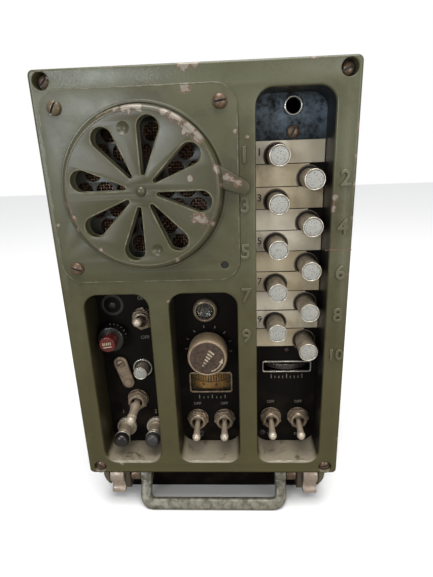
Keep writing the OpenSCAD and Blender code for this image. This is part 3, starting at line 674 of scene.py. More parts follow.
LEGEND = moulded("legend_paint", (0.24, 0.22, 0.18), (0.11, 0.10, 0.08), 0.6, size=2)
KNOB_MARK = moulded("knob_mark", (0.46, 0.38, 0.28), (0.24, 0.18, 0.12), 0.5, size=2)
KNOB = metal("grey_knob", (0.080, 0.052, 0.036), (0.014, 0.008, 0.005), 0.5, size=0.7, tarnish=0.8,
             metallic=0.25, bump=0.6)
KNOB_SIDE = metal("tan_knob_side", (0.34, 0.25, 0.16), (0.14, 0.10, 0.06), 0.5, size=2.5, tarnish=0.6,
                  metallic=0.3, edge=(0.52, 0.42, 0.29))
AMBER = moulded("amber_scale", (0.46, 0.24, 0.055), (0.25, 0.12, 0.026), 0.4, size=6)
HAIRLINE = moulded("hairline", (0.13, 0.02, 0.012), (0.07, 0.01, 0.006), 0.4)
JEWEL = glass("jewel_glass", (0.82, 0.84, 0.82), 0.03)
WINDOW = clear_pane("window_glass", (0.20, 0.15, 0.07), 0.1)
VALVE_GLASS = glass("valve_glass", (0.86, 0.84, 0.8), 0.05)
RED_LENS = moulded("red_dot", (0.05, 0.014, 0.010), (0.025, 0.008, 0.006), 0.4, size=2)


# ---------------------------------------------------------------- short calls

def lathe(name, profile, material, x, y, z=0.0, body="receiver", steps=40, grip=None, tilt=None, **more):
    return piece(name, lathe_mesh(profile, steps, grip), material, on_panel(x, y, z, tilt), body, **more)


def plate(name, loops, z0, z1, material, body="receiver", place=None, bevel=0.4, **more):
    return piece(name, plate_mesh(loops, z0, z1, bevel), material, place or on_panel(0, 0), body, **more)


def tube(r_in, r_out, z0, z1, bevel=0.3):
    """Closed (r, z) ring with rounded corners."""
    return rounded_box(r_in, r_out, z0, z1, min(bevel, (r_out - r_in) * 0.48, (z1 - z0) * 0.48), 3)


def disc(r, z0, z1, bevel=0.4, dome=0.0):
    """(r, z) outline of a disc from axis to axis, its top bulging by dome."""
    top = [(r * (1 - k / 5), z1 - dome * (1 - k / 5) ** 2) for k in range(6)]
    top[-1] = (0, z1)
    return fillet([(0, z0), (r, z0)] + top[:1], bevel)[:-1] + fillet([(r, z0)] + top, bevel)[1:]


def cut(solid, cutter):
    """The solid with the cutter's shape taken out of it."""
    pair = []
    for data in (solid, cutter):
        mesh = bpy.data.meshes.new("cut")
        mesh.from_pydata(data[0], [], data[1])
        pair.append(bpy.data.objects.new("cut", mesh))
        link(pair[-1])
    modifier = pair[0].modifiers.new("cut", "BOOLEAN")
    modifier.operation = "DIFFERENCE"
    modifier.solver = "EXACT"
    modifier.object = pair[1]
    bpy.context.view_layer.update()
    flat = bpy.data.meshes.new_from_object(pair[0].evaluated_get(bpy.context.evaluated_depsgraph_get()))
    data = ([tuple(v.co) for v in flat.vertices], [tuple(f.vertices) for f in flat.polygons])
    bpy.data.meshes.remove(flat)
    for made in pair:
        mesh = made.data
        bpy.data.objects.remove(made)
        bpy.data.meshes.remove(mesh)
    return data


def block_mesh(x0, x1, y0, y1, z0, z1, bevel=0.0):
    return plate_mesh([rounded_box(x0, x1, y0, y1, max(bevel, 0.02), 2)], z0, z1, bevel, 2)


def screw_mesh(radius, height, slot_w=1.3, slot_depth=0.9):
    """Domed head with a slot across it, and the dark block in its slot: dirt, and painted shade of the slot.
    """
    dome = [(radius * cosd(a), height * (0.2 + 0.8 * sind(a)))
            for a in range(0, 90, 10)]
    head = lathe_mesh([(0, -0.3), (radius, -0.3)] + dome + [(0, height)], 36)
    half, floor = slot_w / 2, height - slot_depth
    reach = radius * 0.86
    head = cut(head, block_mesh(-radius - 1, radius + 1, -half, half, floor, height + 1))
    return head, block_mesh(-reach, reach, -half - 0.02, half + 0.02, floor - 0.15, floor + 0.12)


def screw(name, meshes, material, x, y, z, angle, **more):
    head, dirt_and_shade = meshes
    place = on_panel(x, y, z, spin(angle))
    # Dark block in the slot: dirt, and painted shade of the slot
    piece(f"{name}_dirt", dirt_and_shade, DARK, place, slot=more.get("slot"))
    return piece(name, head, material, place, sharp=30, **more)


# ---------------------------------------------------------------- guard and speaker

# Corner screws: x, y, recess (the seat lies 1.4 mm deeper), the slot's angle
GUARD_SCREWS = [(-77.5, 277.5, 4, 45), (77.5, 277.5, 4, 20), (-76.4, 38, 1.2, -35), (76.4, 38, 1.2, 20)]
SPEAKER = (-29.2, 222)
BUTTON_PITCH = 12.9
PLATE_HALF = 51.5
PLATE_SCREW = 42.5
PLATE_FACE = GUARD_D + 1.3
SHUTTER_FACE = 31
PETAL_ANGLES = [-11 + 45 * k for k in range(8)]
DIMPLE_ANGLES = (101.5, -78.5)


def guard():
    x = GUARD_W / 2
    sill = GUARD_BOTTOM + 9
    loops = [
        (rounded_box(-x, x, GUARD_BOTTOM, GUARD_TOP, 3), 1.2),
        (rounded_box(-72, -32.8, sill, 162.4, 9), 1.0),
        (rounded_box(-20.8, 20, sill, 162.4, 9), 1.0),
        (rounded_box(31.3, 72, sill, 270.3, 9), 1.0),
        (ring(*SPEAKER, 47), 0.4),
    ]
    loops += [(ring(sx, sy, 4.3, 28), 0.35) for sx, sy, _, _ in GUARD_SCREWS]
    plate("guard", loops, 0, GUARD_D, GUARD_PAINT, replaces=["guard_frame"], slot="olive_paint")
    upper = [(69.6 + 1.2 * k, 186.4 + 0.16 * (k * 5 % 4)) for k in range(13)]
    lower = [(px, py - 0.5 + 0.12 * (k * 3 % 4)) for k, (px, py) in enumerate(upper)]
    plate("guard_scratch", [upper + lower[::-1]], GUARD_D - 0.1, GUARD_D + 0.03, SCRATCH, bevel=0,
          slot="olive_paint")
    # Painted highlight: a pale strip along the front lip of each sill
    lips = [block_mesh(x0, x1, sill - 0.1, sill + 0.22, GUARD_D - 1.7, GUARD_D - 1.0, 0.1)
            for x0, x1 in ((-64, -41), (-13, 12), (39, 64))]
    piece("sill_lips", joined(*lips), SILL_LIP_HIGHLIGHT, on_panel(0, 0), slot="olive_paint")
    meshes = screw_mesh(3.3, 2.0, 1.2, 1.0)
    for i, (sx, sy, depth, angle) in enumerate(GUARD_SCREWS):
        floor = GUARD_D - depth - 1.4
        # Painted shade: a dark disc at the bottom of each screw recess
        lathe(f"screw_seat_painted_shade_{i + 1}", disc(4.45, floor - 1, floor, 0.1), DARK, sx, sy, slot="olive_paint")
        screw(f"guard_screw_{i + 1}", meshes, SCREW, sx, sy, floor, angle, replaces=["front_screws"],
              slot="worn_steel")


def numerals():
    """Raised cast numerals beside the buttons."""
    for n in range(10):
        x, y = (78.4, 224.6 - BUTTON_PITCH * (n - 1)) if n % 2 else (25.2, 238 - BUTTON_PITCH * n)
        size = 9.6 if n == 9 else 11.5
        lettering(f"cast_numeral_{n + 1}", str(n + 1), size, 0.6, NUMERAL_HIGHLIGHT_PAINT,
                  on_panel(x, y, GUARD_D + 0.3), raised=0.34, slot="olive_paint")


def petal(angle):
    """Opening that widens outwards from a small round tip to a large round end."""
    tip_r, tip_at, end_r, end_at = 1.0, 9.3, 5.5, 32.0
    lean = math.degrees(math.asin((end_r - tip_r) / (end_at - tip_at)))
    outline = (arc(end_at, 0, end_r, -90 - lean, 90 + lean, 22)
               + arc(tip_at, 0, tip_r, 90 + lean, 270 - lean, 6))
    return turned(outline, angle)


def speaker_plate():
    here = on_panel(*SPEAKER)
    half, at = PLATE_HALF, PLATE_SCREW
    loops = [(rounded_box(-half, half, -half, half, 12, 10), 0.45)]
    loops += [(petal(a), 0.2) for a in PETAL_ANGLES]
    loops += [(ring(at, -at, 2.15, 20), 0.3), (ring(0, 0, 1.9, 16), 0.1)]
    face = plate_mesh(loops, GUARD_D, PLATE_FACE)
    bead = lathe_mesh(tube(43.2, 44.9, PLATE_FACE - 0.6, 25.1, 0.5), 96)
    piece("speaker_plate_face", joined(face, bead), PLATE_PAINT, here, replaces=["speaker_plate"],
          slot="olive_paint")
    # Painted highlight: a pale band along the plate's raised edge, in places also rubbed paint
    edge = [rounded_box(d - half, half - d, d - half, half - d, 12 - d, 10) for d in (0.3, 0.8)]
    piece("speaker_plate_edge", plate_mesh(edge, PLATE_FACE - 0.1, PLATE_FACE + 0.05, 0.0), EDGE_HIGHLIGHT_AND_WEAR, here,
          slot="olive_paint")
    # Painted shade: a black disc in the empty screw hole stands for its dark depth
    lathe("screw_hole_painted_shade", disc(2.12, GUARD_D - 1, GUARD_D + 0.12, 0.05), INK, SPEAKER[0] + at,
          SPEAKER[1] - at, slot="black_panel")
    meshes = screw_mesh(3.75, 2.6, 1.2, 1.5)
    screws = [(-at, at, 60, PAINTED_SCREW), (at, at, 8, SCREW), (-at, -at, -20, SCREW)]
    for i, (sx, sy, angle, paint) in enumerate(screws):
        screw(f"plate_screw_{i + 1}", meshes, paint, SPEAKER[0] + sx, SPEAKER[1] + sy, PLATE_FACE, angle,
              slot="worn_steel")


def shutter():
    face, skin, rim_r, outer = SHUTTER_FACE, 1.5, 2.5, 42.4
    flat = outer - rim_r
    loops = [(ring(0, 0, flat, 120), 0.0)] + [(petal(a), 0.35) for a in PETAL_ANGLES]
    dimple_r = 3.3
    spots = [(32 * cosd(a), 32 * sind(a)) for a in DIMPLE_ANGLES]
    loops += [(ring(x, y, dimple_r, 24), 0.0) for x, y in spots] + [(ring(0, 0, 1.9, 16), 0.1)]
    disc_part = plate_mesh(loops, face - skin, face)
    rim = ([(outer - skin, 25.5), (outer, 25.5)] + arc(flat, face - rim_r, rim_r, 0, 90, 10)
           + [(flat, face - skin), (outer - skin, face - rim_r)])
    dish = [(0, face - skin), (dimple_r, face - skin), (dimple_r, face)]
    dish += [(dimple_r * (1 - k / 5), face - 1.4 * math.sin(math.pi / 2 * k / 5)) for k in range(1, 6)]
    dish[-1] = (0, dish[-1][1])
    dishes = [moved(lathe_mesh(dish, 24), shift(x, y)) for x, y in spots]
    tab = [(39.5, 12.6)] + arc(53.2, 0, 3.9, 57, -80, 14) + [(41, 0.2)]
    whole = joined(disc_part, lathe_mesh(rim, 120), *dishes, plate_mesh([tab], 25.5, 27.3, 0.5))
    piece("shutter_disc", whole, SHUTTER_PAINT, on_panel(*SPEAKER), "shutter", replaces=["shutter"],
          slot="olive_sheet")
    # Painted highlight: pale rims round the petals where light catches their edges, in places also bare metal
    rims = [plate_mesh([inset(petal(a), -0.85), inset(petal(a), -0.25)], face - 0.05, face + 0.05, 0.0)
            for a in PETAL_ANGLES]
    piece("shutter_petal_rims", joined(*rims), EDGE_HIGHLIGHT_AND_WEAR, on_panel(*SPEAKER), "shutter", slot="olive_sheet")
    lathe("shutter_lip", tube(39.5, 40.4, face - 0.3, face + 0.14, 0.2), SHUTTER_PAINT, *SPEAKER,
          body="shutter", steps=120, slot="olive_sheet")
    dome = [(2.6 * cosd(a), 31.3 + 1.7 * sind(a)) for a in range(0, 90, 10)]
    lathe("pivot_rivet", [(0, 22), (1.75, 22), (1.75, 31.1), (2.6, 31.1)] + dome + [(0, 33)], PLATE_PAINT,
          *SPEAKER, replaces=["shutter_rivet"], slot="worn_steel")


def grille():
    """Perforated inner plate with a woven bronze screen behind its holes."""
    pitch, hole, reach = 11.5, 4.75, 37
    loops = [(ring(0, 0, 46, 72), 0.3)]
    for row in range(-4, 5):
        y = row * pitch * sind(60)
        for column in range(-4, 5):
            x = (column + 0.5 * (row % 2)) * pitch
            if math.hypot(x, y) <= reach:
                loops.append((ring(x, y, hole, 24), 0.25))
    plate("speaker_grille_plate", loops, 17, 18, BACK_PAINT, place=on_panel(*SPEAKER),
          replaces=["speaker_grille"], slot="black_panel")
    mesh_pitch, radius, sway, edge, stride = 1.6, 0.27, 0.26, 41, 0.8
    wires = []
    count = int(edge / mesh_pitch)
    for across in (False, True):
        for k in range(-count, count + 1):
            offset = k * mesh_pitch
            half = math.sqrt(max(edge ** 2 - offset ** 2, 1))
            stops = int(2 * half / stride)
            rows = []
            for i in range(stops + 1):
                along = -half + 2 * half * i / stops
                phase = math.pi * (along / mesh_pitch + k + across)
                height = sway * math.cos(phase)
                section = [(radius * math.cos(a), radius * math.sin(a)) for a in (0.8, 2.37, 3.94, 5.5)]
                if across:
                    rows.append([(along, offset + a, height + b) for a, b in section])
                else:
                    rows.append([(offset - a, along, height + b) for a, b in section])
            wires.append(loft_mesh(rows))
    piece("woven_screen", joined(*wires), BRONZE, on_panel(*SPEAKER, 16.2), slot="bronze_screen", sharp=80)


# ---------------------------------------------------------------- buttons and cards

BUTTONS = [(63.2 if n % 2 == 0 else 44.2, 237.4 - BUTTON_PITCH * (n - 1)) for n in range(1, 11)]
CALL = (-45.8, 101.9)


def back_of(node):
    """How far a CAD node reaches behind the panel's face, as a negative number of millimetres."""
    return (PANEL_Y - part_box(node)[1].y) / MM


def buttons():
    for n, (x, y) in enumerate(BUTTONS, 1):
        node = f"button_{n}"
        root = back_of(node)
        ride = {"body": node, "slot": "button_metal"}
        barrel = [(0, root), (5.6, root), (5.7, 5.0), (5.35, 5.5), (5.35, 6.3), (5.75, 6.8), (5.75, 18.6),
                  (0, 18.6)]
        lathe(f"{node}_barrel", fillet(barrel, 0.25), BUTTON, x, y, replaces=[node], **ride)
        lathe(f"{node}_rim", tube(5.0, 5.8, 18.2, 19.7, 0.38), BUTTON_RIM, x, y, **ride)
        lathe(f"{node}_face", disc(4.9, 18.4, 19.6, 0.3, 0.2), BUTTON_FACE, x, y, **ride)
        lathe(f"{node}_line", tube(5.2, 5.72, 6.35, 6.75, 0.15), BUTTON_RIM, x, y, **ride)
        lathe(f"{node}_bush", tube(5.95, 7.0, -2, 0.9, 0.35), DARK, x, y, replaces=["button_bushes"],
              slot="dark_metal")
        lathe(f"{node}_bush_edge", tube(6.95, 7.45, -0.5, 0.95, 0.2), WORN, x, y, slot="dark_metal")
    x, y = CALL
    lathe("call_bush", tube(4.7, 5.7, -9, 0.5, 0.2), DARK, x, y, replaces=["button_bushes"],
          slot="dark_metal")
    lathe("call_bush_ring", tube(5.65, 6.65, -0.4, 1.2, 0.4), CHROME, x, y, slot="worn_metal")
    ride = {"body": "call_button", "slot": "button_metal"}
    lathe("call_button_barrel", disc(4.5, -18, 8.6, 0.4), BUTTON, x, y, replaces=["call_button"], **ride)
    lathe("call_button_rim", tube(3.7, 4.55, 7.9, 9, 0.38), BUTTON_RIM, x, y, **ride)
    lathe("call_button_face", disc(3.65, 8.1, 8.9, 0.3, 0.2), BUTTON_FACE, x, y, **ride)


def card_strip(x0, x1, y0, y1, bow, tilt, hole_x, hole_y):
    """Thin strip, bowed out and leaning by tilt, with a round hole for its button."""
    across, up = 24, 8
    thick = 0.5
    grid = []
    for level in (0, thick):
        for j in range(up + 1):
            for i in range(across + 1):
                u, v = i / across, j / up
                z = 0.1 + level + bow * math.sin(math.pi * u) * (0.4 + 0.6 * v) + tilt * v
                grid.append((x0 + (x1 - x0) * u, y0 + (y1 - y0) * v, z))
    layer = (across + 1) * (up + 1)

    def at(i, j, level):
        return level * layer + j * (across + 1) + i

    faces = []
    for j in range(up):
        for i in range(across):
            faces.append((at(i, j, 1), at(i + 1, j, 1), at(i + 1, j + 1, 1), at(i, j + 1, 1)))
            faces.append((at(i, j, 0), at(i, j + 1, 0), at(i + 1, j + 1, 0), at(i + 1, j, 0)))
    for i in range(across):
        faces.append((at(i, 0, 0), at(i + 1, 0, 0), at(i + 1, 0, 1), at(i, 0, 1)))
        faces.append((at(i, up, 0), at(i, up, 1), at(i + 1, up, 1), at(i + 1, up, 0)))
    for j in range(up):
        faces.append((at(0, j, 0), at(0, j, 1), at(0, j + 1, 1), at(0, j + 1, 0)))
        faces.append((at(across, j, 0), at(across, j + 1, 0), at(across, j + 1, 1), at(across, j, 1)))
    hole = lathe_mesh([(0, -3), (7.6, -3), (7.6, 5), (0, 5)], 48)
    return cut((grid, faces), moved(hole, shift(hole_x, hole_y)))


def cards():
    draw = random.Random(7)
    for n, (x, y) in enumerate(BUTTONS, 1):
        right, middle, half = 71.7 if n % 2 else 63.2, y + 2, 6.2
        strip = card_strip(31.6, right, middle - half, middle + half, draw.uniform(0.3, 0.9),
                           draw.uniform(-0.05, 0.35), x, y)
        piece(f"channel_card_{n}", strip, CARD_LIGHT if n % 4 < 2 else CARD_DARK, on_panel(0, 0),
              replaces=["channel_cards"], slot="ivory_card", sharp=30)
        if n % 2:
            lettering(f"card_digit_{n}", str(n), 6.0, 0.06, INK, on_panel(34.4, y + 2.2, 1.0))


# ---------------------------------------------------------------- knobs, lamp, dial, tuning

VOLUME = (0.2, 116.6)
SENSITIVITY = (-62.7, 127.5)
LAMP = (-0.9, 144.2)
DIAL = (0.7, 89.9)
TUNING = (52.4, 102)


def knobs():
    side = [(0, back_of("volume_knob")), (3, back_of("volume_knob")), (3, 2.9), (12.3, 3), (12.7, 3.8),
            (12.7, 15.4), (12.1, 16.7), (11.3, 17.0), (11.0, 16.6), (0, 16.6)]
    lathe("volume_knob_side", fillet(side, 0.4, 2), KNOB_SIDE, *VOLUME, body="volume_knob", steps=240,
          grip=(60, 0.45, 4.2, 15.0), replaces=["volume_knob"], slot="grey_knob")
    lathe("volume_knob_face", disc(11.1, 16.1, 16.95, 0.2, 0.15), KNOB, *VOLUME, body="volume_knob",
          slot="grey_knob")
    bars = [block_mesh(-6.0 + 2.1 * k, -4.9 + 2.1 * k, -1.6, -0.4 + 0.62 * k, 16.8, 17.06) for k in range(6)]
    piece("volume_marks", joined(*bars), KNOB_MARK, on_panel(*VOLUME, 0, spin(50)), "volume_knob",
          slot="grey_knob")
    sweep = arc(0, 0, 9.6, -75, -20, 14)
    sweep += arc(0, 0, 8.9, -20, -75, 14)
    head = turned([(9.25, 3.4), (8.0, 0), (10.5, 0)], -20)
    marks = joined(plate_mesh([sweep], 16.8, 17.06, 0.05, 1), plate_mesh([head], 16.8, 17.06, 0.05, 1))
    piece("volume_arrow", marks, KNOB_MARK, on_panel(*VOLUME), "volume_knob", slot="grey_knob")
    back = back_of("sensitivity_knob")
    side = [(0, back), (3, back), (3, 3), (8.6, 3), (9, 3.6), (9, 8.8), (8.2, 10), (0, 10)]
    lathe("sensitivity_knob_side", fillet(side, 0.4, 2), BLACK, *SENSITIVITY, body="sensitivity_knob",
          steps=160, grip=(20, 0.9, 3.4, 9.6), replaces=["sensitivity_knob"], slot="bakelite")
    lathe("sensitivity_cap", disc(5.1, 9.8, 18, 1.1, 0.5), RED, *SENSITIVITY, body="sensitivity_knob",
          slot="bakelite")
    bars = [block_mesh(-2.6 + 1.2 * k, -2.0 + 1.2 * k, -0.2, 1.7, 17.6, 18.1) for k in range(5)]
    bars.append(block_mesh(-2.6, 2.8, -1.8, -1.2, 17.5, 18.08))
    piece("sensitivity_marks", joined(*bars), KNOB_MARK, on_panel(*SENSITIVITY, 0, spin(8)),
          "sensitivity_knob", slot="bakelite")


def lamp():
    x, y = LAMP
    bezel = [(5.7, 1), (7.3, 0), (7.7, 0.3), (7.7, 3.9), (7.3, 4.4), (7.0, 4.6), (6.9, 5.2), (6.5, 5.5),
             (6.0, 5.5), (5.7, 5.1)]
    lathe("lamp_ring", bezel, WORN, x, y, replaces=["lamp_bezel"], slot="worn_metal")
    lathe("lamp_well", disc(5.4, -14, 0.6, 0.1), DARK, x, y, slot="dark_metal")
    dish = [(0, 0.7), (5.5, 0.7), (5.65, 0.8), (5.65, 2.6), (3.4, 1.3), (0, 0.9)]
    lathe("lamp_reflector", dish, WHEEL, x, y, slot="worn_metal")
    facets = [(0, 2.7), (5.5, 2.9), (5.6, 5.2), (3.4, 6.9), (0, 7.1)]
    lathe("lamp_lens", facets, JEWEL, x, y, steps=10, replaces=["lamp_jewel"], slot="clear_glass", sharp=4)


def framed(name, x, y, w, h, band, corner, height, material, node):
    """Raised rectangular rim around an opening."""
    outer = rounded_box(-w / 2, w / 2, -h / 2, h / 2, corner, 6)
    inner = rounded_box(band - w / 2, w / 2 - band, band - h / 2, h / 2 - band, corner * 0.6, 6)
    plate(name, [(outer, 0.5), (inner, 0.4)], 0, height, material, place=on_panel(x, y), replaces=[node],
          slot="worn_metal")


def dial():
    x, y = DIAL
    framed("dial_rim", x, y, 30, 16, 1.3, 2, 1.0, WORN, "dial_bezel")
    pane = rounded_box(-13.3, 13.3, -6.3, 6.3, 0.8, 3)
    plate("dial_window", [pane], -1.4, -0.3, WINDOW, place=on_panel(x, y), bevel=0.15,
          replaces=["dial_glass"], slot="clear_glass")
    piece("dial_hairline", block_mesh(3.9, 4.4, -6.3, 6.3, -0.35, 0.0), HAIRLINE, on_panel(x, y),
          slot="bakelite")
    upright = spin(-90, "X")
    drum_r, drum_depth = 17.5, -20.2
    drum = [(0, -12), (3, -12), (3, -7.5), (drum_r, -7.5), (drum_r, 7.5), (3, 7.5), (3, 12), (0, 12)]
    lathe("dial_drum_scale", fillet(drum, 0.3), AMBER, x, y, drum_depth, body="dial_drum", steps=90,
          tilt=upright, replaces=["dial_drum"], slot="dial_scale")
    marks = []
    for k in range(60):
        turn = spin(6 * k)
        high, wide = (5.4, 0.95) if k % 5 == 0 else (4.2, 0.7)
        marks.append(moved(block_mesh(drum_r - 0.2, drum_r + 0.1, -wide / 2, wide / 2, -1.4, high), turn))
        if k % 5 == 2:
            marks.append(moved(block_mesh(drum_r - 0.2, drum_r + 0.08, -0.8, 0.8, -4.6, -3.0), turn))
    marks.append(lathe_mesh(tube(drum_r - 0.2, drum_r + 0.08, -1.9, -1.3, 0.05), 90))
    piece("dial_scale_marks", joined(*marks), INK, on_panel(x, y, drum_depth, upright), "dial_drum",
          slot="dial_scale")


def tuning():
    x, y = TUNING
    framed("tuning_rim", x, y, 33, 8.4, 0.9, 1.6, 1.8, CHROME, "tuning_bezel")
    wheel = [(0, -10), (3, -10), (3, -2), (21, -2), (21.6, -1.3), (21.6, 1.3), (21, 2), (3, 2), (3, 10),
             (0, 10)]
    lathe("tuning_wheel_rim", fillet(wheel, 0.2, 2), WHEEL, x, y, -19.2, body="tuning_wheel", steps=288,
          grip=(72, 0.12, -1.5, 1.5), tilt=spin(-90, "X"), replaces=["tuning_wheel"], slot="dark_metal")


# ---------------------------------------------------------------- switches, posts, arm

# Each switch is (name, x, y, its lever's lean: 1 up or -1 down, degrees turned clockwise)
SWITCHES = [
    ("speaker", -42.3, 138.5, 1, 0), ("squelch", -51.3, 77.5, -1, 14), ("tune", -9.5, 61, -1, 0),
    ("device", 9.5, 61, -1, 0), ("intercom", 42, 62, -1, 0), ("power", 61, 62, -1, 0),
]


def switches():
    hexagon = ring(0, 0, 6.6 / cosd(30), 6)
    nut = plate_mesh([(hexagon, 0.45), (ring(0, 0, 5.4, 30), 0.3)], 0.8, 3.4)
    thread = [(5.45 - 0.28 * (k % 2), 3.0 + 0.4 * k) for k in range(9)]
    washer = lathe_mesh(tube(5.5, 7.4, 0.05, 0.8), 48)
    bushing = [(3.9, -6), (5.4, -6)] + thread + [(4.9, 6.5), (4.3, 6.5), (3.9, 6.1)]
    for name, x, y, direction, roll in SWITCHES:
        here = on_panel(x, y, 0, spin(-roll))
        piece(f"{name}_switch_box", block_mesh(-6.5, 6.5, -9.5, 9.5, -22, -2.05, 0.6), SHELL, here,
              replaces=["switch_bodies"], slot="black_shell")
        threads = joined(lathe_mesh(bushing), lathe_mesh(tube(5.3, 6.3, 3.35, 4.5)))
        piece(f"{name}_switch_thread", threads, WORN, here, slot="worn_metal")
        piece(f"{name}_switch_nut", joined(washer, moved(nut, spin(x + 2 * roll))), WORN, here,
              replaces=["switch_nuts"], slot="worn_metal", sharp=30)
        lever_place = on_panel(x, y, 1, spin(-roll) @ spin(-13 * direction, "X"))
        ball = [(2.6 * cosd(a), 2.6 * sind(a)) for a in range(-80, 50, 10)]
        if name == "squelch":
            tip_r, tip_at = 3.1, 19.4
            shape = ball + [(2.3, 3.4), (2.4, 5.6), (3.7, 6.8), (3.6, 8.6), (3.0, 10.2), (2.8, 13.5),
                            (2.9, 15.9), (3.2, 16.2), (3.2, 17.2), (2.8, 17.7), (2.9, 19.4), (0, 19.4)]
        else:
            tip_r, tip_at = 2.75, 16.05
            shape = ball + [(1.55, 2.6), (2.35, 15.4), (0, 15.4)]
        pin = moved(lathe_mesh([(0, -3.6), (1.2, -3.6), (1.2, 3.6), (0, 3.6)], 16), spin(90, "Y"))
        piece(f"{name}_lever_stem", joined(lathe_mesh([(0, -2.6)] + shape, 32), pin), LEVER, lever_place,
              f"{name}_lever", replaces=[f"{name}_lever"], slot="worn_metal")
        tip = [(tip_r * cosd(a), tip_at + tip_r * sind(a))
               for a in range(-28, 90, 9)]
        tip = [(0, tip_at - 1.25)] + tip + [(0, tip_at + tip_r)]
        piece(f"{name}_lever_tip", lathe_mesh(tip, 32), LEVER_TIP, lever_place,
              f"{name}_lever", slot="worn_metal")


def posts():
    for name, x, y, paint in (("antenna", -61.3, 55, BLACK), ("ground", -39.8, 55.1, DULL_BLACK)):
        base = [(2.1, -12), (3.5, -12), (3.5, 0), (7, 0), (7, 2.0), (6.4, 2.4), (5.2, 2.6), (5.2, 3.7),
                (4.5, 4.3), (4.4, 10.9), (3.9, 11.5), (2.1, 11.5)]
        lathe(f"{name}_post_barrel", base, LEVER, x, y, replaces=["binding_posts"], slot="worn_metal")
        lathe(f"{name}_post_ring", tube(5.9, 7.1, 1.2, 2.5, 0.3), CHROME, x, y, slot="worn_metal")
        body = f"{name}_cap"
        stem = [(0, -10), (1.95, -10), (1.95, 13.6), (5.1, 13.65), (5.3, 14.0), (5.2, 14.4), (0, 14.4)]
        lathe(f"{name}_cap_collar", fillet(stem, 0.25), CHROME, x, y, body=body, slot="worn_metal")
        cap = [(0, 14.1), (4.7, 14.1), (5.05, 14.6), (5.05, 17), (4.8, 18.2), (4.0, 19.2), (2.6, 19.8),
               (0, 20)]
        lathe(f"{name}_cap_head", fillet(cap, 0.4), paint, x, y, body=body, steps=120,
              grip=(30, 0.18, 14.8, 17.2), replaces=[body], slot="bakelite")


def pivot_arm():
    x, y = -60.5, 106.5
    end = (4, -15)
    along = math.degrees(math.atan2(end[1], end[0]))
    outline = arc(0, 0, 4.6, along + 90, along + 270, 20) + arc(*end, 4.15, along - 90, along + 90, 20)
    arm = plate_mesh([(outline, 0.6), (ring(0, 0, 2.1, 20), 0.2)], 0.6, 2.8)
    boss = moved(lathe_mesh(disc(2.9, 2.4, 4.1, 0.5, 0.3), 32), shift(*end))
    piece("arm_link", joined(arm, boss), WORN, on_panel(x, y), "pivot_arm", replaces=["pivot_arm"],
          slot="worn_metal")


def panel_fittings():
    medium = screw_mesh(2.75, 1.6, 1.0, 0.7)
    large = screw_mesh(3.6, 2.0, 1.1, 0.9)
    small = screw_mesh(2.4, 1.2, 0.9, 0.6)
    screw("arm_screw", medium, WORN, -60.5, 106.5, 3, 30, replaces=["panel_screws"], slot="worn_steel")
    screw("panel_screw_1", large, SCREW, 53.3, 250.2, 0, 65, replaces=["panel_screws"], slot="worn_steel")
    for i, (x, y, angle) in enumerate([(-62, 148, 10), (-8, 48.5, 50), (36, 48.5, -30)]):
        screw(f"panel_screw_{i + 2}", small, DARK, x, y, 0, angle, replaces=["panel_screws"],
              slot="worn_steel")
    lathe("test_eyelet", tube(4.15, 5.1, -0.5, 1.7, 0.45), CHROME, 53.2, 263.6, slot="worn_metal")
    lathe("red_dot", disc(1.3, 0, 0.5, 0.3, 0.2), RED_LENS, 52.3, 113.9, slot="bakelite")
    lathe("washer_stain", tube(5.6, 7.4, 0.0, 0.12, 0.05), DARK, -62, 148, slot="black_panel")


def legends():
    """Plain ticks, digits, ON and OFF beside the controls."""
    flat = 0.04
    words = [("ON", -42.3, 152.2, 3.4), ("OFF", -42.3, 124.4, 3.4), ("1", -63, 66.4, 4),
             ("2", -39.8, 66.4, 4)]
    for x, low, high in ((-9.5, 46.0, 72.6), (9.5, 46.0, 72.6), (42, 47.2, 73.8), (61, 47.2, 73.8)):
        words += [("ON", x, low, 3), ("OFF", x, high, 3)]
    for i, (word, x, y, size) in enumerate(words):
        lettering(f"legend_{i + 1}", word, size, flat, LEGEND, on_panel(x, y, flat), slot="black_panel")
    ticks = [block_mesh(42 + 2.6 * k, 42.5 + 2.6 * k, 92.4, 94.2 + (k % 4 == 0) * 1.4, 0, 0.08)
             for k in range(9)]
    ticks += [block_mesh(-8 + 3 * k, -7.5 + 3 * k, 76.9, 78.4 + (k % 3 == 0) * 1.2, 0, 0.08)
              for k in range(7)]
    ticks += [moved(block_mesh(14.2, 16, -0.25, 0.25, 0, 0.08), shift(*VOLUME) @ spin(a))
              for a in range(-40, 240, 28)]
    piece("legend_ticks", joined(*ticks), LEGEND, on_panel(0, 0), slot="black_panel")


# ---------------------------------------------------------------- brackets and handle

SHAFT = (0, 21, 9)


def brackets():
    top = GUARD_BOTTOM - 0.05
    outline = [(59.5, 11), (67, 11)] + arc(67, 23, 12, -85, 0, 14) + [(79, top), (59.5, top)]
    outer = arc(67, 23, 12, -51.3, 0, 8) + [(79, top), (74.5, top)]
    inner = [(59.5, 11), (63.5, 11), (63.5, top), (59.5, top)]
    near = plate_mesh([inner], 0.5, 13.5, 1.2, 4)
    rest = joined(plate_mesh([outline], 0, 2, 0.8), plate_mesh([outer], 0.5, 13.5, 1.4, 4))
    for side, turn in (("right", lambda mesh: mesh), ("left", mirrored)):
        piece(f"{side}_bracket", turn(rest), BRACKET_PAINT, on_panel(0, 0), replaces=["handle_brackets"],
              slot="olive_sheet")
        piece(f"{side}_bracket_cheek", turn(near), CHEEK_PAINT, on_panel(0, 0), replaces=["handle_brackets"],
              slot="olive_sheet")


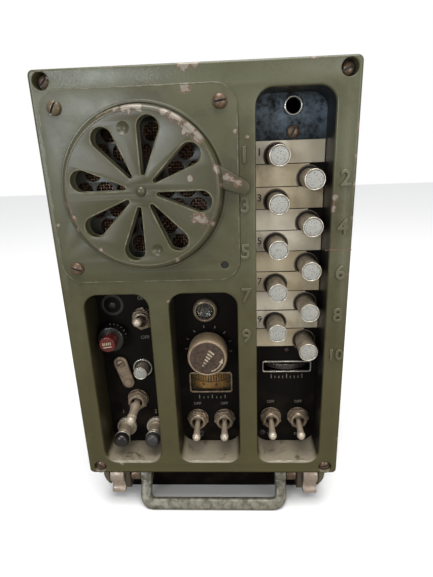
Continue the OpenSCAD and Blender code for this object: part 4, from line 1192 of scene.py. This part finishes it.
def latches():
    groove = arc(-9, 6, 3.1, -53.8, -161.2, 12)
    outline = ([(-12, -5.5)] + arc(0, 0, 6.5, -122.2, 147.4, 30) + groove
               + [(-13.5, 5), (-13.5, -4), (-12, -4)])
    for side, x0, x1 in (("right", 64, 74), ("left", -74, -64)):
        piece(f"{side}_cam", plate_mesh([outline], x0, x1, 0.9), STEEL, on_panel(*SHAFT, SIDEWAYS), "handle",
              replaces=["latch_shafts"], slot="worn_steel")
        sign = 1 if x0 > 0 else -1
        along = spin(90, "Y")
        ends = sorted((sign * 44.2, sign * 75.5))
        collar = sorted((sign * 52.3, sign * 59))
        lathe(f"{side}_shaft", disc(3, *ends, 0.5), SCREW, *SHAFT, body="handle", tilt=along,
              slot="worn_steel")
        lathe(f"{side}_collar", tube(3, 4.7, *collar, 0.7), SCREW, *SHAFT, body="handle", tilt=along,
              slot="worn_steel")


def handle():
    leg_w, leg_t, reach, bend_r = 7.8, 6.4, 20.7, 6
    leg_x = 52 - leg_w / 2
    path = [(-leg_x, 0), (-leg_x, -4), (-leg_x, -8)]
    path += arc(bend_r - leg_x, bend_r - reach, bend_r, 180, 270, 10)
    path += [((leg_x - bend_r) * t, -reach) for t in (-0.6, -0.2, 0.2, 0.6)]
    path += arc(leg_x - bend_r, bend_r - reach, bend_r, -90, 0, 10) + [(leg_x, -8), (leg_x, -4), (leg_x, 0)]
    section = rounded_box(-leg_w / 2, leg_w / 2, -leg_t / 2, leg_t / 2, 2.2, 5)
    rows = []
    for i, (x, y) in enumerate(path):
        before, after = path[max(i - 1, 0)], path[min(i + 1, len(path) - 1)]
        forward = Vector((after[0] - before[0], after[1] - before[1])).normalized()
        side = Vector((-forward.y, forward.x))
        rows.append([(x + side.x * a, y + side.y * a, b) for a, b in section])
    eye = lathe_mesh(tube(2.9, 5.6, -leg_w / 2, leg_w / 2, 0.8), 40)
    eyes = [moved(eye, shift(x, 0) @ spin(90, "Y")) for x in (-leg_x, leg_x)]
    piece("handle_bar", joined(loft_mesh(rows), *eyes), HANDLE_PAINT, on_panel(*SHAFT, spin(-30, "X")),
          "handle", replaces=["bail_handle"], slot="olive_handle", sharp=50)


# ---------------------------------------------------------------- case

def turn_over(mesh, low, high):
    """The mesh with its ends at heights low and high swapped."""
    return [(x, y, low + high - z) for x, y, z in mesh[0]], [tuple(reversed(f)) for f in mesh[1]]


def case():
    front = (PANEL_Y - COVER_LOW.y) / MM
    back = (PANEL_Y - COVER_HIGH.y) / MM
    half, top = COVER_HIGH.x / MM, COVER_HIGH.z / MM
    wall, edge = 1.5, 3
    outline = rounded_box(-half, half, 0, top, 8, 10)

    def row(depth, z):
        return [(x, y, z) for x, y in (inset(outline, depth) if depth else outline)]

    rows = [row(edge * (1 - sind(a)), back + edge * (1 - cosd(a)))
            for a in range(0, 91, 15)]
    rows += [row(0, front - 0.4), row(0.4, front), row(wall - 0.4, front), row(wall, front - 0.4),
             row(wall, back + edge), row(edge, back + wall)]
    plug_hole = rounded_box(-36, 36, top / 2 - 118, top / 2 - 92, 3)
    wall_mesh = plate_mesh([(inset(outline, edge), 0.0), (plug_hole, 0.4)], back, back + wall)
    piece("case_shell", joined(loft_mesh(rows, closed=True), wall_mesh), COVER_PAINT, on_panel(0, 0),
          replaces=["dust_cover"], slot="olive_sheet")
    long_rib, tall_rib = rounded_box(-125, 125, -4, 4, 3.9), rounded_box(-4, 4, -86, 86, 3.9)
    for sign in (-1, 1):
        label = "right" if sign > 0 else "left"
        across = on_panel(sign * half, 0, (front + back) / 2, spin(90 * sign, "Y"))
        ribs = [moved(plate_mesh([long_rib], -0.4, 0.9, 0.85, 4), shift(0, y)) for y in (80.5, 160.5)]
        piece(f"case_ribs_{label}", joined(*ribs), COVER_PAINT, across, slot="olive_sheet")
        rivets = [moved(lathe_mesh(disc(1.6, -0.3, 0.8, 0.3, 0.4), 16), shift(sign * 143, y))
                  for y in range(20, 261, 24)]
        piece(f"case_rivets_{label}", joined(*rivets), COVER_PAINT, across, slot="olive_sheet")
    behind = on_panel(0, top / 2 + 20, back, spin(180, "Y"))
    ribs = [moved(plate_mesh([tall_rib], -0.4, 0.9, 0.85, 4), shift(x, 0)) for x in (-50, 0, 50)]
    piece("case_ribs_back", joined(*ribs), COVER_PAINT, behind, slot="olive_sheet")
    head, dirt_and_shade = screw_mesh(3.2, 1.7, 1.0, 0.8)
    for sign in (-1, 1):
        for i, y in enumerate((200.5, 120.5, 40.5)):
            place = on_panel(sign * half, y, -22, spin(90 * sign, "Y") @ spin(25 + 40 * i))
            label = f"case_screw_{'right' if sign > 0 else 'left'}_{i + 1}"
            piece(label, head, SCREW, place, replaces=["cover_screws"], slot="worn_steel", sharp=30)
            # Dark block in the slot: dirt, and painted shade of the slot
            piece(f"{label}_dirt", dirt_and_shade, DARK, place, slot="worn_steel")
    middle = top / 2
    face = (rounded_box(-34, 34, middle - 116, middle - 94, 2.5), 1.0)
    flange = rounded_box(-40, 40, middle - 122, middle - 88, 3)
    plug = joined(plate_mesh([face], back - 4, back + 1.6), plate_mesh([flange], back + 1.55, back + 10))
    piece("rear_plug_body", plug, BLACK, on_panel(0, 0), replaces=["rear_plug"], slot="bakelite")
    pin_tip, pin_root = back - 8, back - 3.9
    pin = lathe_mesh(disc(1.2, pin_tip, pin_root, 0.5), 20)
    pins = [turn_over(moved(pin, shift(7 * i, middle - 109 + 8 * j)), pin_tip, pin_root)
            for i in range(-4, 5) for j in (0, 1)]
    piece("rear_plug_pins", joined(*pins), BRASS, on_panel(0, 0), slot="worn_metal")


for build in (guard, numerals, speaker_plate, shutter, grille, buttons, cards, knobs, lamp, dial, tuning,
              switches, posts, pivot_arm, panel_fittings, legends, brackets, latches, handle, case):
    build()

# CAD nodes that stay as they are: the panel and what is behind it
KEPT_NODES = {
    "front_panel": PANEL, "mechanism_frame": SHEET, "chassis": SHEET, "speaker_cone": PAPER,
    "speaker_basket": SHELL, "output_transformer": SHELL, "dynamotor_frame": SHELL, "valves": VALVE_GLASS,
    "if_cans": CAN, "dynamotor_armature": COPPER, "tuning_gang": CAN, "gang_rotor": CAN,
    "potentiometers": CAN,
}
for name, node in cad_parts.items():
    node.data.materials.clear()
    node.data.materials.append(KEPT_NODES.get(name, DARK))


# ---------------------------------------------------------------- stage

def stage():
    half = 3.0
    corners = [(-half, -half, 0), (half, -half, 0), (half, half, 0), (-half, half, 0)]
    mesh = bpy.data.meshes.new("floor")
    mesh.from_pydata(corners, [], [(0, 1, 2, 3)])
    pale = Surface("pale_floor", roughness=0.9)
    seen = pale.node("ShaderNodeLightPath").outputs["Is Camera Ray"]
    white = pale.mix(pale.noise(900, 2), (0.94, 0.94, 0.94), (0.96, 0.96, 0.96))
    pale.set("Base Color", pale.mix(seen, (0.30, 0.28, 0.25), white))
    mesh.materials.append(pale.material)
    floor = bpy.data.objects.new("floor", mesh)
    link(floor)


def soft_light(name, place, target, size, power, colour=(1, 1, 1)):
    data = bpy.data.lights.new(name, "AREA")
    data.shape = "RECTANGLE"
    data.size, data.size_y = size
    data.energy = power
    data.color = colour
    made = bpy.data.objects.new(name, data)
    made.location = place
    made.rotation_mode = "QUATERNION"
    made.rotation_quaternion = (Vector(target) - Vector(place)).to_track_quat("-Z", "Y")
    link(made)


def light():
    world = bpy.data.worlds.new("studio")
    world.use_nodes = True
    tree = world.node_tree
    white = tree.nodes["Background"]
    white.inputs["Color"].default_value = (1.0, 1.0, 1.0, 1)
    ambient = tree.nodes.new("ShaderNodeBackground")
    ambient.inputs["Color"].default_value = (0.97, 0.98, 1.0, 1)
    ambient.inputs["Strength"].default_value = 0.35
    choose = tree.nodes.new("ShaderNodeMixShader")
    tree.links.new(tree.nodes.new("ShaderNodeLightPath").outputs["Is Camera Ray"], choose.inputs["Fac"])
    tree.links.new(ambient.outputs["Background"], choose.inputs[1])
    tree.links.new(white.outputs["Background"], choose.inputs[2])
    tree.links.new(choose.outputs["Shader"], tree.nodes["World Output"].inputs["Surface"])
    scene = bpy.context.scene
    scene.world = world
    scene.view_settings.view_transform = "Standard"
    target = (0, -0.15, 0.15)
    soft_light("overhead", (0.1, -0.6, 1.3), target, (1.0, 0.8), 11, (1.0, 0.98, 0.95))
    soft_light("window", (-0.56, -1.3, 0.44), target, (0.3, 0.3), 6, (0.88, 0.94, 1.0))
    sky = bpy.data.lights.new("sky", "SUN")
    sky.energy = 1.7
    sky.angle = 0.6
    above = bpy.data.objects.new("sky", sky)
    above.rotation_euler = (0.12, 0, 0)
    link(above)
    soft_light("front_right", (0.7, -1.1, 0.32), target, (0.6, 0.6), 4.5, (1.0, 0.98, 0.95))


def camera():
    """The photograph's camera, placed from the guard's front lower edge."""
    data = bpy.data.cameras.new("camera")
    data.sensor_width = 36
    data.lens = 25.1
    data.clip_start = 0.01
    right = Vector((0.9986, 0.0399, -0.0345))
    up = Vector((0.0206, 0.3074, 0.9514))
    back = Vector((0.0490, -0.9508, 0.3059))
    made = bpy.data.objects.new("camera", data)
    turn = Matrix((right, up, back)).transposed().to_4x4()
    spot = Vector((0.0195, GUARD_LOW.y - 0.2223, GUARD_LOW.z + 0.2038))
    made.matrix_world = Matrix.Translation(spot) @ turn
    link(made)
    bpy.context.scene.camera = made


stage()
light()
camera()
